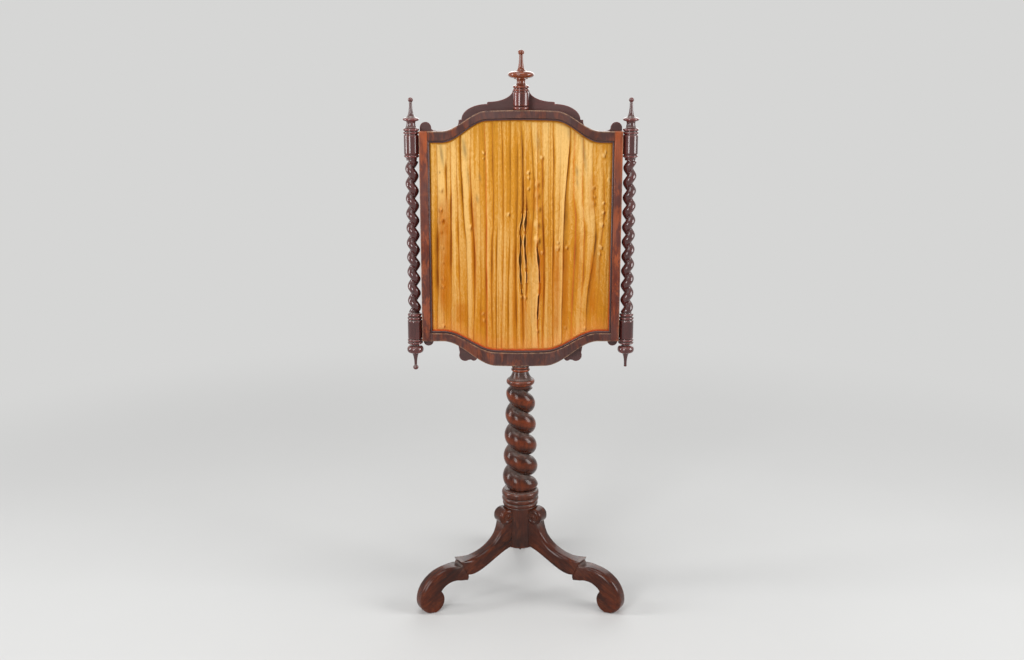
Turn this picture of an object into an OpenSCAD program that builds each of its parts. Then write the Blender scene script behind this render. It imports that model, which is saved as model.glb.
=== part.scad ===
// Pole screen: a pleated silk panel in a shaped frame between twisted side columns.
// A round pole carries it, which slides and turns in a twisted column on three scroll legs.
// Millimetres, +Z up, the silk faces -Y, the floor is Z = 0.

/* [Column] */
// Height of the hub's lower rim above the floor
hub_z = 112; // [95:1:125]
// Diameter of the hub that carries the legs
hub_d = 73; // [66:1:78]
// Plain length of the hub
hub_h = 92; // [84:1:110]
// Depth of the hub's slightly domed underside
hub_dome = 4; // [2:1:8]
// Length of the three-bead collar above the hub
collar_h = 40; // [36:1:60]
// Diameter over the collar's beads
collar_d = 83; // [79:1:96]
// Length of the twisted shaft
twist_h = 235; // [200:1:280]
// Height that one turn of the column's twist takes
twist_pitch = 48.5; // [36:0.5:60]
// Outer diameter of the twist at its top
twist_top_d = 62; // [56:1:70]
// Outer diameter of the twist at its foot
twist_foot_d = 81; // [72:1:82]
// Depth of the groove between the twist's strands
twist_groove = 19; // [12:0.5:22]
// Angle of the twist's crest at its foot
twist_start = 28; // [0:1:359]
// Length of the turned cap above the twist
cap_h = 43.5; // [38:0.5:54]
// Diameter of the cap's wide ring
cap_ring_d = 62; // [54:1:74]
// Diameter of the cap's neck on the twist
cap_neck_d = 48; // [42:0.5:52]
// Diameter of the cap's top bead
cap_top_d = 41; // [38:0.5:50]

/* [Pole] */
// Diameter of the sliding pole
pole_d = 21; // [16:0.5:22]
// Travel of the pole from its lowest place
pole_lift = 200; // [120:5:200]
// Height of the collar that rests on the column
pole_collar_h = 6.5; // [5:0.5:16]
// Diameter of that collar
pole_collar_d = 38; // [32:0.5:44]
// Diameter of the journal that the panel turns on
journal_d = 16; // [12:0.5:18]
// Length of the journal above the collar
journal_h = 24; // [16:0.5:26]
// Length of the leaf spring in the pole's foot
spring_l = 34; // [24:1:40]
// Width of the leaf spring
spring_w = 7; // [5:0.5:9]
// Thickness of the leaf spring
spring_t = 0.8; // [0.5:0.1:1.2]

/* [Legs] */
// Distance from the column's axis to the outermost point of a foot
foot_reach = 257.5; // [235:0.5:290]
// Thickness of a leg from side to side
leg_t = 35; // [30:0.5:38]
// Radius of the knuckle at the top of a leg
knuckle_r = 18.5; // [16:0.5:21]
// Distance from a foot's outermost point back to the knee's lip
knee_back = 97.5; // [90:0.5:110]
// Height of the knee's lip above the floor
knee_z = 104.5; // [98:0.5:112]
// Radius of the scroll that a foot ends in
foot_r = 28; // [24:0.5:31]
// Depth worn flat under a foot
foot_flat = 0.8; // [0.4:0.1:1.6]
// Rounding of a leg's crowned upper edges
crown_r = 10; // [6:0.5:12]
// Rounding of a knuckle's edges
knuckle_crown = 12; // [6:0.5:14]
// Rounding of a leg's lower edges
arris_r = 2.5; // [1.5:0.5:4]
// Width of the groove across a leg's knee
knee_groove_w = 1.6; // [1:0.1:3]
// Depth of the groove across a leg's knee
knee_groove_d = 1.2; // [0.6:0.1:2]
// Depth of the housing in the hub that a leg is let into
housing = 7.5; // [5:0.5:10]
// Diameter of the dowels that hold the legs
leg_dowel_d = 9; // [7:0.5:11]
// Length of the dowels that hold the legs
leg_dowel_l = 32; // [24:1:36]
// Height of a leg's lower dowel above the hub's rim
leg_dowel_z = 24; // [20:1:34]
// Distance between a leg's two dowels
leg_dowel_gap = 30; // [20:1:40]

/* [Panel] */
// Width over the stiles
panel_w = 426; // [400:1:500]
// Height of the stiles
panel_h = 449.5; // [400:0.5:520]
// Thickness of the stiles and rails
frame_t = 30; // [28:0.5:40]
// Width of a stile's face
stile_w = 17.5; // [15:0.5:26]
// Width of the top rail's face at its ends
top_rail_w = 19.5; // [16:0.5:26]
// Width of the top rail's face at its middle
top_rail_mid_w = 16.5; // [14:0.5:26]
// Rise of the top rail from its ends to its middle
top_rise = 43.5; // [30:0.5:50]
// Width of the bottom rail's face at its ends
foot_rail_w = 18; // [16:0.5:26]
// Width of the bottom rail's face at its middle
foot_rail_mid_w = 30; // [28:0.5:40]
// Drop of the bottom rail from its ends to its middle
foot_drop = 56; // [40:0.5:64]
// Part of a rail's rise or drop that is its shallow bow
arch_bow = 5; // [2:0.5:8]
// Half width of the top rail's raised middle
top_arch_in = 71; // [60:1:80]
// Half width where the top rail's shoulders run out
top_arch_out = 167; // [150:1:175]
// Half width of the bottom rail's lowered middle
foot_arch_in = 53; // [44:1:64]
// Half width where the bottom rail's shoulders run out
foot_arch_out = 168; // [150:1:175]
// Thickness of the tenons on the rails
tenon_t = 10; // [8:0.5:12]
// Length of the tenons on the rails
tenon_l = 9; // [6:0.5:12]
// Width of the slip round the silk
slip_w = 4; // [3:0.5:6]
// Depth of the slip
slip_t = 7; // [5:0.5:8]
// Setback of the slip behind the frame's face
slip_back = 3; // [1:0.5:4]
// Depth of the silk's folds
silk_t = 3.4; // [2:0.1:4]
// Number of folds across the silk
silk_folds = 22; // [14:1:24]
// Thickness of the board behind the silk
backing_t = 5; // [3:0.5:6]
// Width and depth of the beads that hold the board
bead_t = 6; // [4:0.5:7]

/* [Boards and finial] */
// Thickness of the shaped boards behind the frame
board_t = 9; // [6:0.5:12]
// Height of the crest's peak above the stiles
crest_h = 84.5; // [76:0.5:92]
// Half width of the crest's peak
crest_peak_x = 17; // [12:0.5:24]
// Half width of the crest at its upper step
crest_step_x = 71; // [60:0.5:80]
// Height of the upper step above the stiles
crest_step_h = 58; // [50:0.5:66]
// Half width of the crest at its lower step
crest_low_x = 131; // [118:0.5:138]
// Height of the lower step above the stiles
crest_low_h = 22; // [16:0.5:28]
// Half width where the crest runs out into the rail
crest_end_x = 157; // [146:0.5:166]
// Depth of the small nicks at the crest's steps
crest_nick = 3; // [1:0.5:4]
// Radius of the crest's round ears
ear_r = 12; // [9:0.5:14]
// Radius of the apron's round ears
apron_ear_r = 11; // [9:0.5:14]
// Radius of the apron's larger lobe
lobe_r = 13; // [10:0.5:15]
// Radius of the apron's smaller lobe
small_lobe_r = 7.5; // [6:0.5:10]
// Diameter of a board screw's head
screw_head_d = 8; // [6:0.5:10]
// Diameter of a board screw's shank
screw_d = 4; // [3:0.5:5]
// Distance of the outer screws from the stiles
screw_edge = 5.5; // [4.5:0.5:10]
// Length of a board screw
screw_l = 20; // [16:1:26]
// Height of the centre finial
finial_h = 122; // [100:1:140]
// Diameter of the finial's disc
finial_disc_d = 54.5; // [44:0.5:64]
// Diameter of the finial's cylinder
finial_d = 33; // [28:0.5:34]

/* [Side columns] */
// Diameter of the cylinders at the ends of the side columns
end_d = 31.4; // [26:0.2:34]
// Length of each cylinder
end_h = 39; // [32:0.5:46]
// How far the beads stand out from the cylinders
end_bead = 0.9; // [0.4:0.1:1.4]
// Height of the spire above the upper beads
spire_h = 62; // [50:0.5:76]
// Diameter of the spire's disc
spire_disc_d = 34.2; // [28:0.2:40]
// Length of the drop under the lower beads
drop_h = 58; // [46:0.5:70]
// Diameter of the drop's disc
drop_disc_d = 36; // [30:0.5:42]
// Height that one turn of the side twist takes
side_pitch = 31.5; // [24:0.5:40]
// Depth of the side twist's groove
side_groove = 8; // [5:0.2:10]
// Outer diameter of the side twist
side_twist_d = 28.4; // [24:0.2:31]
// Diameter of the dowels that hold the side columns
dowel_d = 8; // [6:0.5:10]
// Length of the dowels
dowel_l = 28; // [20:1:32]

/* [Fits] */
// Radial clearance of the pole and of its journal
run_fit = 0.05; // [0.02:0.01:0.1]
// Clearance of glued joints and screw holes
glue_fit = 0.1; // [0.05:0.05:0.2]
// Clearance round soft and loose pieces
loose_fit = 0.3; // [0.3:0.05:0.5]
// Radial clearance of the column's bore below its cap
bore_fit = 0.6; // [0.5:0.1:1]

/* [Hidden] */
$fn = 64;

mahogany = [0.30, 0.12, 0.08];
rosewood = [0.25, 0.16, 0.14];
veneer = [0.33, 0.22, 0.18];
finial_wood = [0.55, 0.22, 0.11];
pale_wood = [0.55, 0.42, 0.28];
silk_gold = [0.80, 0.57, 0.27];
iron = [0.20, 0.20, 0.21];
spring_steel = [0.45, 0.45, 0.47];

// Heights of the stack, from the hub's rim to the panel
collar_z = hub_z + hub_h;
twist_z = collar_z + collar_h;
cap_z = twist_z + twist_h;
column_top = cap_z + cap_h;
seat_z = column_top + pole_collar_h;
panel_z = seat_z + foot_drop;
panel_top = panel_z + panel_h;

hub_r = hub_d / 2;
pole_r = pole_d / 2;
bore_r = pole_r + bore_fit;
// Length of pole left in the column at full height, so that the spring stays below the cap
pole_grip = cap_h + spring_l + 12.5;
pole_foot = column_top - pole_grip - pole_lift;
// Clear depth under the pole's foot
bore_floor = pole_foot - 6;

// Half widths of the panel, the rails and the sight opening
panel_half = panel_w / 2;
rail_half = panel_half - stile_w;
sight_half = rail_half - slip_w;

// Depths through the panel, from its face to its back
face_y = -frame_t / 2;
back_y = frame_t / 2;
slip_y = face_y + slip_back;
silk_y = slip_y + slip_t + loose_fit;
backing_y = silk_y + silk_t + loose_fit;
bead_y = backing_y + backing_t;

// Side columns stand clear of the stiles by their beads
end_r = end_d / 2;
side_x = panel_half + end_r + end_bead + glue_fit;
side_beads = 17;
side_shoulder = 13;
cap_bottom = panel_top - 8.7 - end_h - side_shoulder;
drop_top = panel_z + 5 + end_h + side_shoulder + 5;

// The axis lies off the middle of the part's depth, because one leg points back
front_reach = (foot_reach - crown_r * (1 - cos(60))) * cos(60)
    + (leg_t / 2 - crown_r * (1 - sin(60))) * sin(60);
axis_y = (front_reach - foot_reach) / 2;

// Places of the screws in the boards, as half widths
screw_xs = [rail_half / 2, rail_half - screw_edge];

// Outline helpers

// Half-round bead on radius r, from height a to height b
function bead(r, out, a, b, n = 8) =
    [for (i = [0:n]) [r + out * sin(180 * i / n), a + (b - a) * (1 - cos(180 * i / n)) / 2]];

// Quarter curve that leaves p along the first coordinate and meets q along the second
function quarter(p, q, n = 6) =
    [for (i = [0:n]) let(t = 90 * i / n)
        [p[0] + (q[0] - p[0]) * sin(t), p[1] + (q[1] - p[1]) * (1 - cos(t))]];

// Quarter curve that leaves p along the second coordinate and meets q along the first
function quarter_up(p, q, n = 6) =
    [for (i = [0:n]) let(t = 90 * i / n)
        [p[0] + (q[0] - p[0]) * (1 - cos(t)), p[1] + (q[1] - p[1]) * sin(t)]];

// Arc about c from angle a to angle b
function arc(c, r, a, b, n) =
    [for (i = [0:n]) let(t = a + (b - a) * i / n) [c[0] + r * cos(t), c[1] + r * sin(t)]];

// Cubic curve from p to q with handles u and v
function swing(p, u, v, q, n) =
    [for (i = [1:n - 1]) let(t = i / n, s = 1 - t)
        s * s * s * p + 3 * s * s * t * u + 3 * s * t * t * v + t * t * t * q];

function reversed(list) = [for (i = [len(list) - 1:-1:0]) list[i]];

// Height of a rail's shaped edge over its ends, at the distance x from the middle
function shoulder(x, in, out) =
    abs(x) <= in ? 1 : abs(x) >= out ? 0 : (1 + cos(180 * (abs(x) - in) / (out - in))) / 2;
function bow(x, out) = abs(x) >= out ? 0 : pow(1 - pow(x / out, 2), 2);
function arch(x, rise, in, out) = (rise - arch_bow) * shoulder(x, in, out) + arch_bow * bow(x, out);

// Edges of the rails and of the sight opening
function top_edge(x) = panel_top + arch(x, top_rise, top_arch_in, top_arch_out);
function top_inner(x) = panel_top - top_rail_w
    + arch(x, top_rise + top_rail_w - top_rail_mid_w, top_arch_in, top_arch_out);
function foot_edge(x) = panel_z - arch(x, foot_drop, foot_arch_in, foot_arch_out);
function foot_inner(x) = panel_z + foot_rail_w
    - arch(x, foot_drop - foot_rail_mid_w + foot_rail_w, foot_arch_in, foot_arch_out);

rail_steps = 48;
function across(half, steps = rail_steps) = [for (i = [0:steps]) -half + 2 * half * i / steps];

// The rails' own steps as far as the given half width, so that what lies on a rail meets its flats
function within(half) =
    concat([-half], [for (x = across(rail_half)) if (abs(x) < half - loose_fit) x], [half]);
function chord(edge, x) =
    let(s = 2 * rail_half / rail_steps, a = -rail_half + s * floor((x + rail_half) / s), t = (x - a) / s)
    edge(a) * (1 - t) + edge(a + s) * t;
function top_line(half) = [for (x = within(half)) [x, chord(function(x) top_inner(x), x)]];
function foot_line(half) = [for (x = within(half)) [x, chord(function(x) foot_inner(x), x)]];

// Drawing helpers

// Puts a piece drawn about the column's axis into the part's frame
module placed() {
    translate([0, axis_y, 0]) children();
}

// Upright plate of an outline in X and Z, from depth a to depth b
module plate(a, b) {
    translate([0, b, 0]) rotate([90, 0, 0]) linear_extrude(b - a) children();
}

module turned(profile) {
    rotate_extrude() polygon(profile);
}

// Triangles of a flat outline that runs clockwise, cut off corner by corner
function side_of(p, q, r) = (q[0] - p[0]) * (r[1] - p[1]) - (q[1] - p[1]) * (r[0] - p[0]);
function covers(t, p) = max([for (i = [0:2]) side_of(t[i], t[(i + 1) % 3], p)]) < 0;
function corner(ids, i) = let(n = len(ids)) [ids[(i + n - 1) % n], ids[i], ids[(i + 1) % n]];
function loose_corner(points, ids, i = 0) =
    let(t = [for (k = corner(ids, i)) points[k]])
    side_of(t[0], t[1], t[2]) < 0 && len([for (k = ids) if (covers(t, points[k])) k]) == 0
        ? i : loose_corner(points, ids, i + 1);
function cut_corners(points, ids) =
    len(ids) == 3 ? [ids]
    : let(i = loose_corner(points, ids))
    concat([corner(ids, i)], cut_corners(points, [for (k = [0:len(ids) - 1]) if (k != i) ids[k]]));

// Solid of stacked rings, the first one facing down, with the triangles that close its two ends
module ring_stack(rings, near, far) {
    n = len(rings[0]);
    last = len(rings) - 1;
    points = [for (ring = rings) each ring];
    sides = [for (k = [0:last - 1], i = [0:n - 1])
        let(j = (i + 1) % n, a = k * n, b = a + n)
        each [[a + i, b + i, b + j], [a + i, b + j, a + j]]];
    lid = [for (t = far) [last * n + t[2], last * n + t[1], last * n + t[0]]];
    polyhedron(points, concat(sides, near, lid));
}

// Column

module column_base() {
    // Rings of the collar from below: neck, swell, and the shares of its height where each starts and ends
    rings = [[-1.5, 3.5, 0.012, 0.25], [-0.5, 4, 0.275, 0.525], [0, 4, 0.55, 0.91]];
    profile = concat(
        [[0, -hub_dome]],
        quarter([0, -hub_dome], [hub_r, 0], 8),
        [[hub_r, hub_h]],
        [for (r = rings)
            each bead(collar_neck_r + r[0], r[1], hub_h + r[2] * collar_h, hub_h + r[3] * collar_h)],
        [[collar_neck_r - 1.5, hub_h + 0.94 * collar_h], [collar_neck_r - 1.5, hub_h + collar_h]],
        [[0, hub_h + collar_h]]
    );
    color(mahogany) placed() difference() {
        translate([0, 0, hub_z]) turned(profile);
        translate([0, 0, bore_floor]) cylinder(r = bore_r, h = column_top);
        for (a = leg_angles) rotate(a) {
            leg_housing();
            leg_pegs(glue_fit);
        }
        translate([0, 0, hub_z - hub_dome - 1])
            cylinder(d = base_screw_d + 2 * glue_fit, h = base_screw_l);
    }
}

// Largest radius of a twist at the distance d from its end, where it is rounded off to a neck
function end_round(d, neck, outer, ease) =
    d >= ease ? outer : neck + (outer - neck) * sqrt(1 - pow(1 - d / ease, 2));

// The same at the twist's top, where it runs out in a slope
function end_lean(d, neck, outer, ease) =
    d >= ease ? outer : neck + (outer - neck) * sin(90 * d / ease);

// Rings of a twist whose crest starts at the angle from; strand gives the share of its depth at an
// angle from the crest, core its least radius, and ends the necks at its foot and top
function twist_rings(h, pitch, hand, from, steps, sides, radii, groove, core, strand, ends, ease) =
    [for (k = [0:steps])
        let(
            z = h * k / steps,
            crest = from + hand * 360 * z / pitch,
            outer = radii[0] + (radii[1] - radii[0]) * z / h,
            most = min(end_round(z, ends[0], outer, ease), end_lean(h - z, ends[1], outer, ease))
        )
        [for (i = [0:sides - 1])
            let(
                turn = 360 * i / sides - 180,
                r = min(max(core, outer - groove * (1 - strand(turn))), most),
                a = crest + turn
            )
            [r * cos(a), r * sin(a), z]]];

// Solid of a twist's rings
module twist(rings) {
    ids = [for (i = [0:len(rings[0]) - 1]) i];
    foot = [for (p = rings[0]) [p[1], p[0]]];
    top = [for (p = rings[len(rings) - 1]) [p[1], p[0]]];
    ring_stack(rings, cut_corners(foot, ids), cut_corners(top, ids));
}

twist_steps = 90;
twist_sides = 24;
collar_neck_r = collar_d / 2 - 4;

module column_twist() {
    // A plump strand with a narrow groove
    strand = function(turn) pow(max(0, 1 - pow(turn / 180, 2)), 0.6);
    rings = twist_rings(
        twist_h, twist_pitch, -1, twist_start, twist_steps, twist_sides,
        [twist_foot_d / 2, twist_top_d / 2], twist_groove, bore_r + 3, strand,
        [twist_foot_d / 2 - 12, cap_neck_d / 2], 12
    );
    color(mahogany) placed() difference() {
        translate([0, 0, twist_z]) twist(rings);
        translate([0, 0, twist_z - 1]) cylinder(r = bore_r, h = twist_h + 2);
    }
}

module column_cap() {
    neck_r = cap_neck_d / 2;
    ring_r = cap_ring_d / 2;
    top_r = cap_top_d / 2;
    bell_r = top_r - 3.5;
    bell_foot = [ring_r - 4, 19];
    bell_head = [bell_r, cap_h - 7.5];
    profile = concat(
        [[0, 0]],
        quarter_up([neck_r, 0], [ring_r - 4, 6.4]),
        bead(ring_r - 4, 4, 7.2, 18.4),
        [bell_foot],
        swing(bell_foot, bell_foot + [-2, 5], bell_head + [4.5, -5], bell_head, 6),
        [bell_head],
        bead(top_r - 2.5, 2.5, cap_h - 6.8, cap_h - 1.2),
        [[bell_r + 0.5, cap_h - 1], [bell_r + 0.5, cap_h], [0, cap_h]]
    );
    color(mahogany) placed() difference() {
        translate([0, 0, cap_z]) turned(profile);
        translate([0, 0, cap_z - 1]) cylinder(r = pole_r + run_fit, h = cap_h + 2);
    }
}

// Screw with a long round head under the hub
base_screw_d = 5;
base_screw_l = 45;
base_head_d = 9;
base_head_h = 16;

module base_screw() {
    tip = base_screw_l - 6;
    color(iron) placed() translate([0, 0, hub_z - hub_dome]) turned(concat(
        [[0, -base_head_h]],
        quarter([0, -base_head_h], [base_head_d / 2, 0]),
        [[base_screw_d / 2, 0], [base_screw_d / 2, tip - 4], [0, tip]]
    ));
}

// Legs

leg_angles = [210, 330, 90];
leg_seat = hub_r - housing;
peg_zs = [hub_z + leg_dowel_z, hub_z + leg_dowel_z + leg_dowel_gap];

// Housing in the hub for a leg that points along +X, open below and closed by the collar
module leg_housing() {
    width = leg_t + 2 * glue_fit;
    translate([leg_seat - glue_fit, -width / 2, hub_z - hub_dome - 1])
        cube([housing + collar_d, width, hub_h + hub_dome + 1]);
}

// Dowels between the hub and a leg that points along +X
module leg_pegs(fit) {
    for (z = peg_zs)
        translate([leg_seat - leg_dowel_l / 2 - fit, 0, z])
            rotate([0, 90, 0]) cylinder(d = leg_dowel_d + 2 * fit, h = leg_dowel_l + 2 * fit);
}

// Side outline of a leg in its own plane: distance from the axis, height, edge rounding
function rounded(points, r) = [for (p = points) [p[0], p[1], r]];

// Edge rounding eased down to that of the sharp corners near by
function eased(line) =
    let(n = len(line))
    [for (i = [0:n - 1]) [line[i][0], line[i][1], min([for (k = [-4:4])
        let(q = line[(i + k + n) % n], d = line[i] - q) q[2] + 0.3 * norm([d[0], d[1]])])]];

// The knuckle tucks in under the collar
knuckle_c = [hub_r + 5.5, collar_z - knuckle_r - loose_fit];
knuckle_from = acos((leg_seat - knuckle_c[0]) / knuckle_r);
lip = [foot_reach - knee_back, knee_z];
lip_low = lip + [-18, -34];
scroll_c = [foot_reach - foot_r, foot_r - foot_flat];
flat_a = acos((foot_r - foot_flat) / foot_r);
instep_c = [foot_reach - 82, 21];
foot_w = 79.5;
foot_h = 70;
// Edge rounding at the knee, the crease and the other sharp corners
sharp_r = 1;

function leg_outline() =
    let(
        crease = knuckle_c + knuckle_r * [cos(-58), sin(-58)],
        heel = [foot_reach - foot_w, scroll_c[1] - 2],
        root = [leg_seat, hub_z + 2]
    )
    concat(
        [[leg_seat, knuckle_c[1] + knuckle_r * sin(knuckle_from), sharp_r]],
        rounded(arc(knuckle_c, knuckle_r, knuckle_from - 12, -46, 13), knuckle_crown),
        [[crease[0], crease[1], sharp_r]],
        rounded(swing(crease, crease + [11, -38], lip + [-62, -5], lip, 9), crown_r),
        [[lip[0], lip[1], sharp_r], [lip[0] - 3.5, lip[1] - 8, sharp_r]],
        [for (i = [0:11]) let(t = 104 - 104 * i / 11)
            [heel[0] + foot_w * cos(t), heel[1] + 2 * cos(t) + foot_h * sin(t), i == 0 ? sharp_r : crown_r]],
        rounded(arc(scroll_c, foot_r, -12, -90 + flat_a, 5), crown_r),
        rounded(arc(scroll_c, foot_r, -90 - flat_a, -222, 9), arris_r),
        rounded(arc(instep_c, 42, 44, 110, 6), arris_r),
        [[lip_low[0] + 1.5, lip_low[1] - 12, sharp_r], [lip_low[0] - 0.5, lip_low[1] - 6, sharp_r]],
        [[lip_low[0], lip_low[1], sharp_r]],
        rounded(swing(lip_low, lip_low + [-30, -10.5], [hub_r + 29.5, hub_z - 5], root, 9), arris_r),
        [[root[0], root[1], sharp_r]]
    );

// Leg that points along +X: its outline, drawn in at the sides to round the edges
module leg_body() {
    line = eased(leg_outline());
    n = len(line);
    half = leg_t / 2;
    inward = [for (i = [0:n - 1])
        let(d = line[(i + 1) % n] - line[(i + n - 1) % n], l = norm([d[0], d[1]])) [d[1], -d[0]] / l];
    turns = [-90, -60, -30, 0, 0, 30, 60, 90];
    rings = [for (k = [0:7]) [for (i = [0:n - 1])
        let(r = line[i][2], side = k < 4 ? -1 : 1, t = abs(turns[k]))
        [
            line[i][0] + inward[i][0] * r * (1 - cos(t)),
            side * (half - r + r * sin(t)),
            line[i][1] + inward[i][1] * r * (1 - cos(t))
        ]]];
    cap = cut_corners([for (p = rings[0]) [p[0], p[2]]], [for (i = [0:n - 1]) i]);
    ring_stack(rings, cap, cap);
}

// Grooves across a leg's sides, from the knee's lip down to the lip below
module knee_grooves() {
    high = lip + [-3.5, -8];
    low = lip_low + [0.5, -8];
    run = high - low;
    mid = (high + low) / 2;
    for (side = [-1, 1])
        translate([mid[0], side * leg_t / 2, mid[1]]) rotate([0, atan2(run[0], run[1]), 0])
            cube([knee_groove_w, 2 * knee_groove_d, norm(run) + 4], center = true);
}

module leg(i) {
    color(mahogany) placed() rotate(leg_angles[i]) difference() {
        leg_body();
        leg_pegs(glue_fit);
        knee_grooves();
    }
}

module leg_left() { leg(0); }
module leg_right() { leg(1); }
module leg_rear() { leg(2); }

module leg_dowels() {
    color(pale_wood) placed() for (a = leg_angles) rotate(a) leg_pegs(0);
}

// Pole

spring_z = pole_foot + 4;
// The leaf's edges stay clear of the column's bore
spring_face = sqrt(pow(bore_r - loose_fit, 2) - pow(spring_w / 2, 2));

module pole() {
    groove_floor = pole_r - 3;
    color(mahogany) placed() difference() {
        union() {
            translate([0, 0, pole_foot]) cylinder(r = pole_r, h = seat_z - pole_foot);
            translate([0, 0, seat_z]) cylinder(d = journal_d, h = journal_h);
        }
        translate([-spring_w / 2 - loose_fit, -pole_r - 1, spring_z - loose_fit])
            cube([spring_w + 2 * loose_fit, pole_r + 1 - groove_floor, spring_l + 2 * loose_fit]);
    }
}

// Turned ring glued round the pole: it stops on the column and carries the panel
module pole_collar() {
    ring_r = pole_collar_d / 2 - 1.2;
    color(mahogany) placed() translate([0, 0, column_top]) difference() {
        turned(concat(
            [[0, 0]], bead(ring_r, 1.2, 0, pole_collar_h - 2), [[ring_r, pole_collar_h], [0, pole_collar_h]]
        ));
        translate([0, 0, -1]) cylinder(r = pole_r + glue_fit, h = pole_collar_h + 2);
    }
}

// Bowed leaf in the pole's groove, which rubs on the bore and holds the panel's height
module pole_spring() {
    steps = 10;
    seat = pole_r - 3 + loose_fit / 2;
    rise = spring_face - spring_t - seat;
    line = [for (i = [0:steps]) [seat + rise * sin(180 * i / steps), spring_z + spring_l * i / steps]];
    outer = [for (p = line) p + [spring_t, 0]];
    color(spring_steel) placed() translate([spring_w / 2, 0, 0])
        rotate([90, 0, -90]) linear_extrude(spring_w) polygon(concat(line, reversed(outer)));
}

// Frame

// Tenon of a rail in the right stile: low and high ends of its height
top_tenon = [panel_top - top_rail_w + 3, panel_top - 4];
foot_tenon = [panel_z + 4, panel_z + foot_rail_w - 3];

module tenon(range, fit) {
    for (side = [-1, 1])
        translate([side * rail_half, 0, (range[0] + range[1]) / 2])
            cube([2 * (tenon_l + fit), tenon_t + 2 * fit, range[1] - range[0] + 2 * fit], center = true);
}

// Dowels lie in the middle of the side columns' cylinders
dowel_zs = [drop_top - side_shoulder - end_h / 2, cap_bottom + side_shoulder + end_h / 2];

module dowels(side, fit) {
    for (z = dowel_zs)
        translate([side * (panel_half + (side_x - panel_half - end_r) / 2), 0, z])
            rotate([0, 90, 0]) cylinder(d = dowel_d + 2 * fit, h = dowel_l + 2 * fit, center = true);
}

module stile(side) {
    color(rosewood) placed() difference() {
        translate([side > 0 ? rail_half : -panel_half, face_y, panel_z]) cube([stile_w, frame_t, panel_h]);
        tenon(top_tenon, glue_fit);
        tenon(foot_tenon, glue_fit);
        dowels(side, glue_fit);
    }
}

module stile_left() { stile(-1); }
module stile_right() { stile(1); }

module top_rail() {
    xs = across(rail_half);
    color(veneer) placed() difference() {
        union() {
            plate(face_y, back_y) polygon(concat(
                [for (x = xs) [x, top_edge(x)]], reversed([for (x = xs) [x, top_inner(x)]])
            ));
            tenon(top_tenon, 0);
        }
        translate([0, finial_y, finial_seat - spigot_l - glue_fit])
            cylinder(d = spigot_d + 2 * glue_fit, h = top_rail_w + spigot_l);
        screw_holes(top_screw_zs);
    }
}

module bottom_rail() {
    xs = across(rail_half);
    color(veneer) placed() difference() {
        union() {
            plate(face_y, back_y) polygon(concat(
                [for (x = xs) [x, foot_inner(x)]], reversed([for (x = xs) [x, foot_edge(x)]])
            ));
            tenon(foot_tenon, 0);
        }
        translate([0, 0, seat_z - 1]) cylinder(d = journal_d + 2 * run_fit, h = journal_h + 2);
        screw_holes(foot_screw_zs);
    }
}

// Slips round the sight opening, set back from the frame's face
module slip_side(side) {
    color(rosewood) placed()
        translate([side > 0 ? sight_half : -rail_half, slip_y, foot_inner(rail_half)])
            cube([slip_w, slip_t, top_inner(rail_half) - foot_inner(rail_half)]);
}

module slip_left() { slip_side(-1); }
module slip_right() { slip_side(1); }

module slip_top() {
    line = top_line(sight_half);
    color(rosewood) placed() plate(slip_y, slip_y + slip_t)
        polygon(concat(line, reversed([for (p = line) p - [0, slip_w]])));
}

module slip_bottom() {
    line = foot_line(sight_half);
    color(rosewood) placed() plate(slip_y, slip_y + slip_t)
        polygon(concat([for (p = line) p + [0, slip_w]], reversed(line)));
}

// Silk, gathered in uneven upright folds over the backing board
fold_steps = 4;
silk_rows = 8;

// Height of the silk's face over its back, from 0.3 to 1 of its depth
function fold(x, t) =
    let(
        place = silk_folds * (x / (2 * rail_half) + 0.5),
        warp = 0.28 * sin(97 * place) + 0.12 * sin(360 * t + 51 * place),
        wave = (1 + cos(360 * (place + warp))) / 2
    )
    silk_t * (0.3 + 0.7 * pow(wave, 0.8));

module silk_panel() {
    half = rail_half - loose_fit;
    cols = silk_folds * fold_steps;
    xs = across(half, cols);
    face = [for (x = xs, j = [0:silk_rows])
        let(t = j / silk_rows, a = foot_inner(x) + loose_fit, b = top_inner(x) - loose_fit)
        [x, silk_y + silk_t - fold(x, t), a + (b - a) * t]];
    rear = [for (x = xs, t = [0, 1])
        [x, silk_y + silk_t, t == 0 ? foot_inner(x) + loose_fit : top_inner(x) - loose_fit]];
    m = silk_rows + 1;
    base = len(face);
    front_faces = [for (i = [0:cols - 1], j = [0:silk_rows - 1])
        let(p = i * m + j, q = p + m) each [[p, p + 1, q + 1], [p, q + 1, q]]];
    rear_faces = [for (i = [0:cols - 1])
        let(p = base + 2 * i, q = p + 2) each [[p, q + 1, p + 1], [p, q, q + 1]]];
    low_faces = [for (i = [0:cols - 1])
        let(f = i * m, g = f + m, p = base + 2 * i, q = p + 2) each [[f, g, q], [f, q, p]]];
    high_faces = [for (i = [0:cols - 1])
        let(f = i * m + silk_rows, g = f + m, p = base + 2 * i + 1, q = p + 2) each [[f, q, g], [f, p, q]]];
    left_faces = concat(
        [for (j = [0:silk_rows - 1]) [base, j + 1, j]], [[base, base + 1, silk_rows]]
    );
    right = cols * m;
    right_rear = base + 2 * cols;
    right_faces = concat(
        [for (j = [0:silk_rows - 1]) [right_rear, right + j, right + j + 1]],
        [[right_rear, right + silk_rows, right_rear + 1]]
    );
    color(silk_gold) placed() polyhedron(
        concat(face, rear),
        concat(front_faces, rear_faces, low_faces, high_faces, left_faces, right_faces)
    );
}

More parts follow.
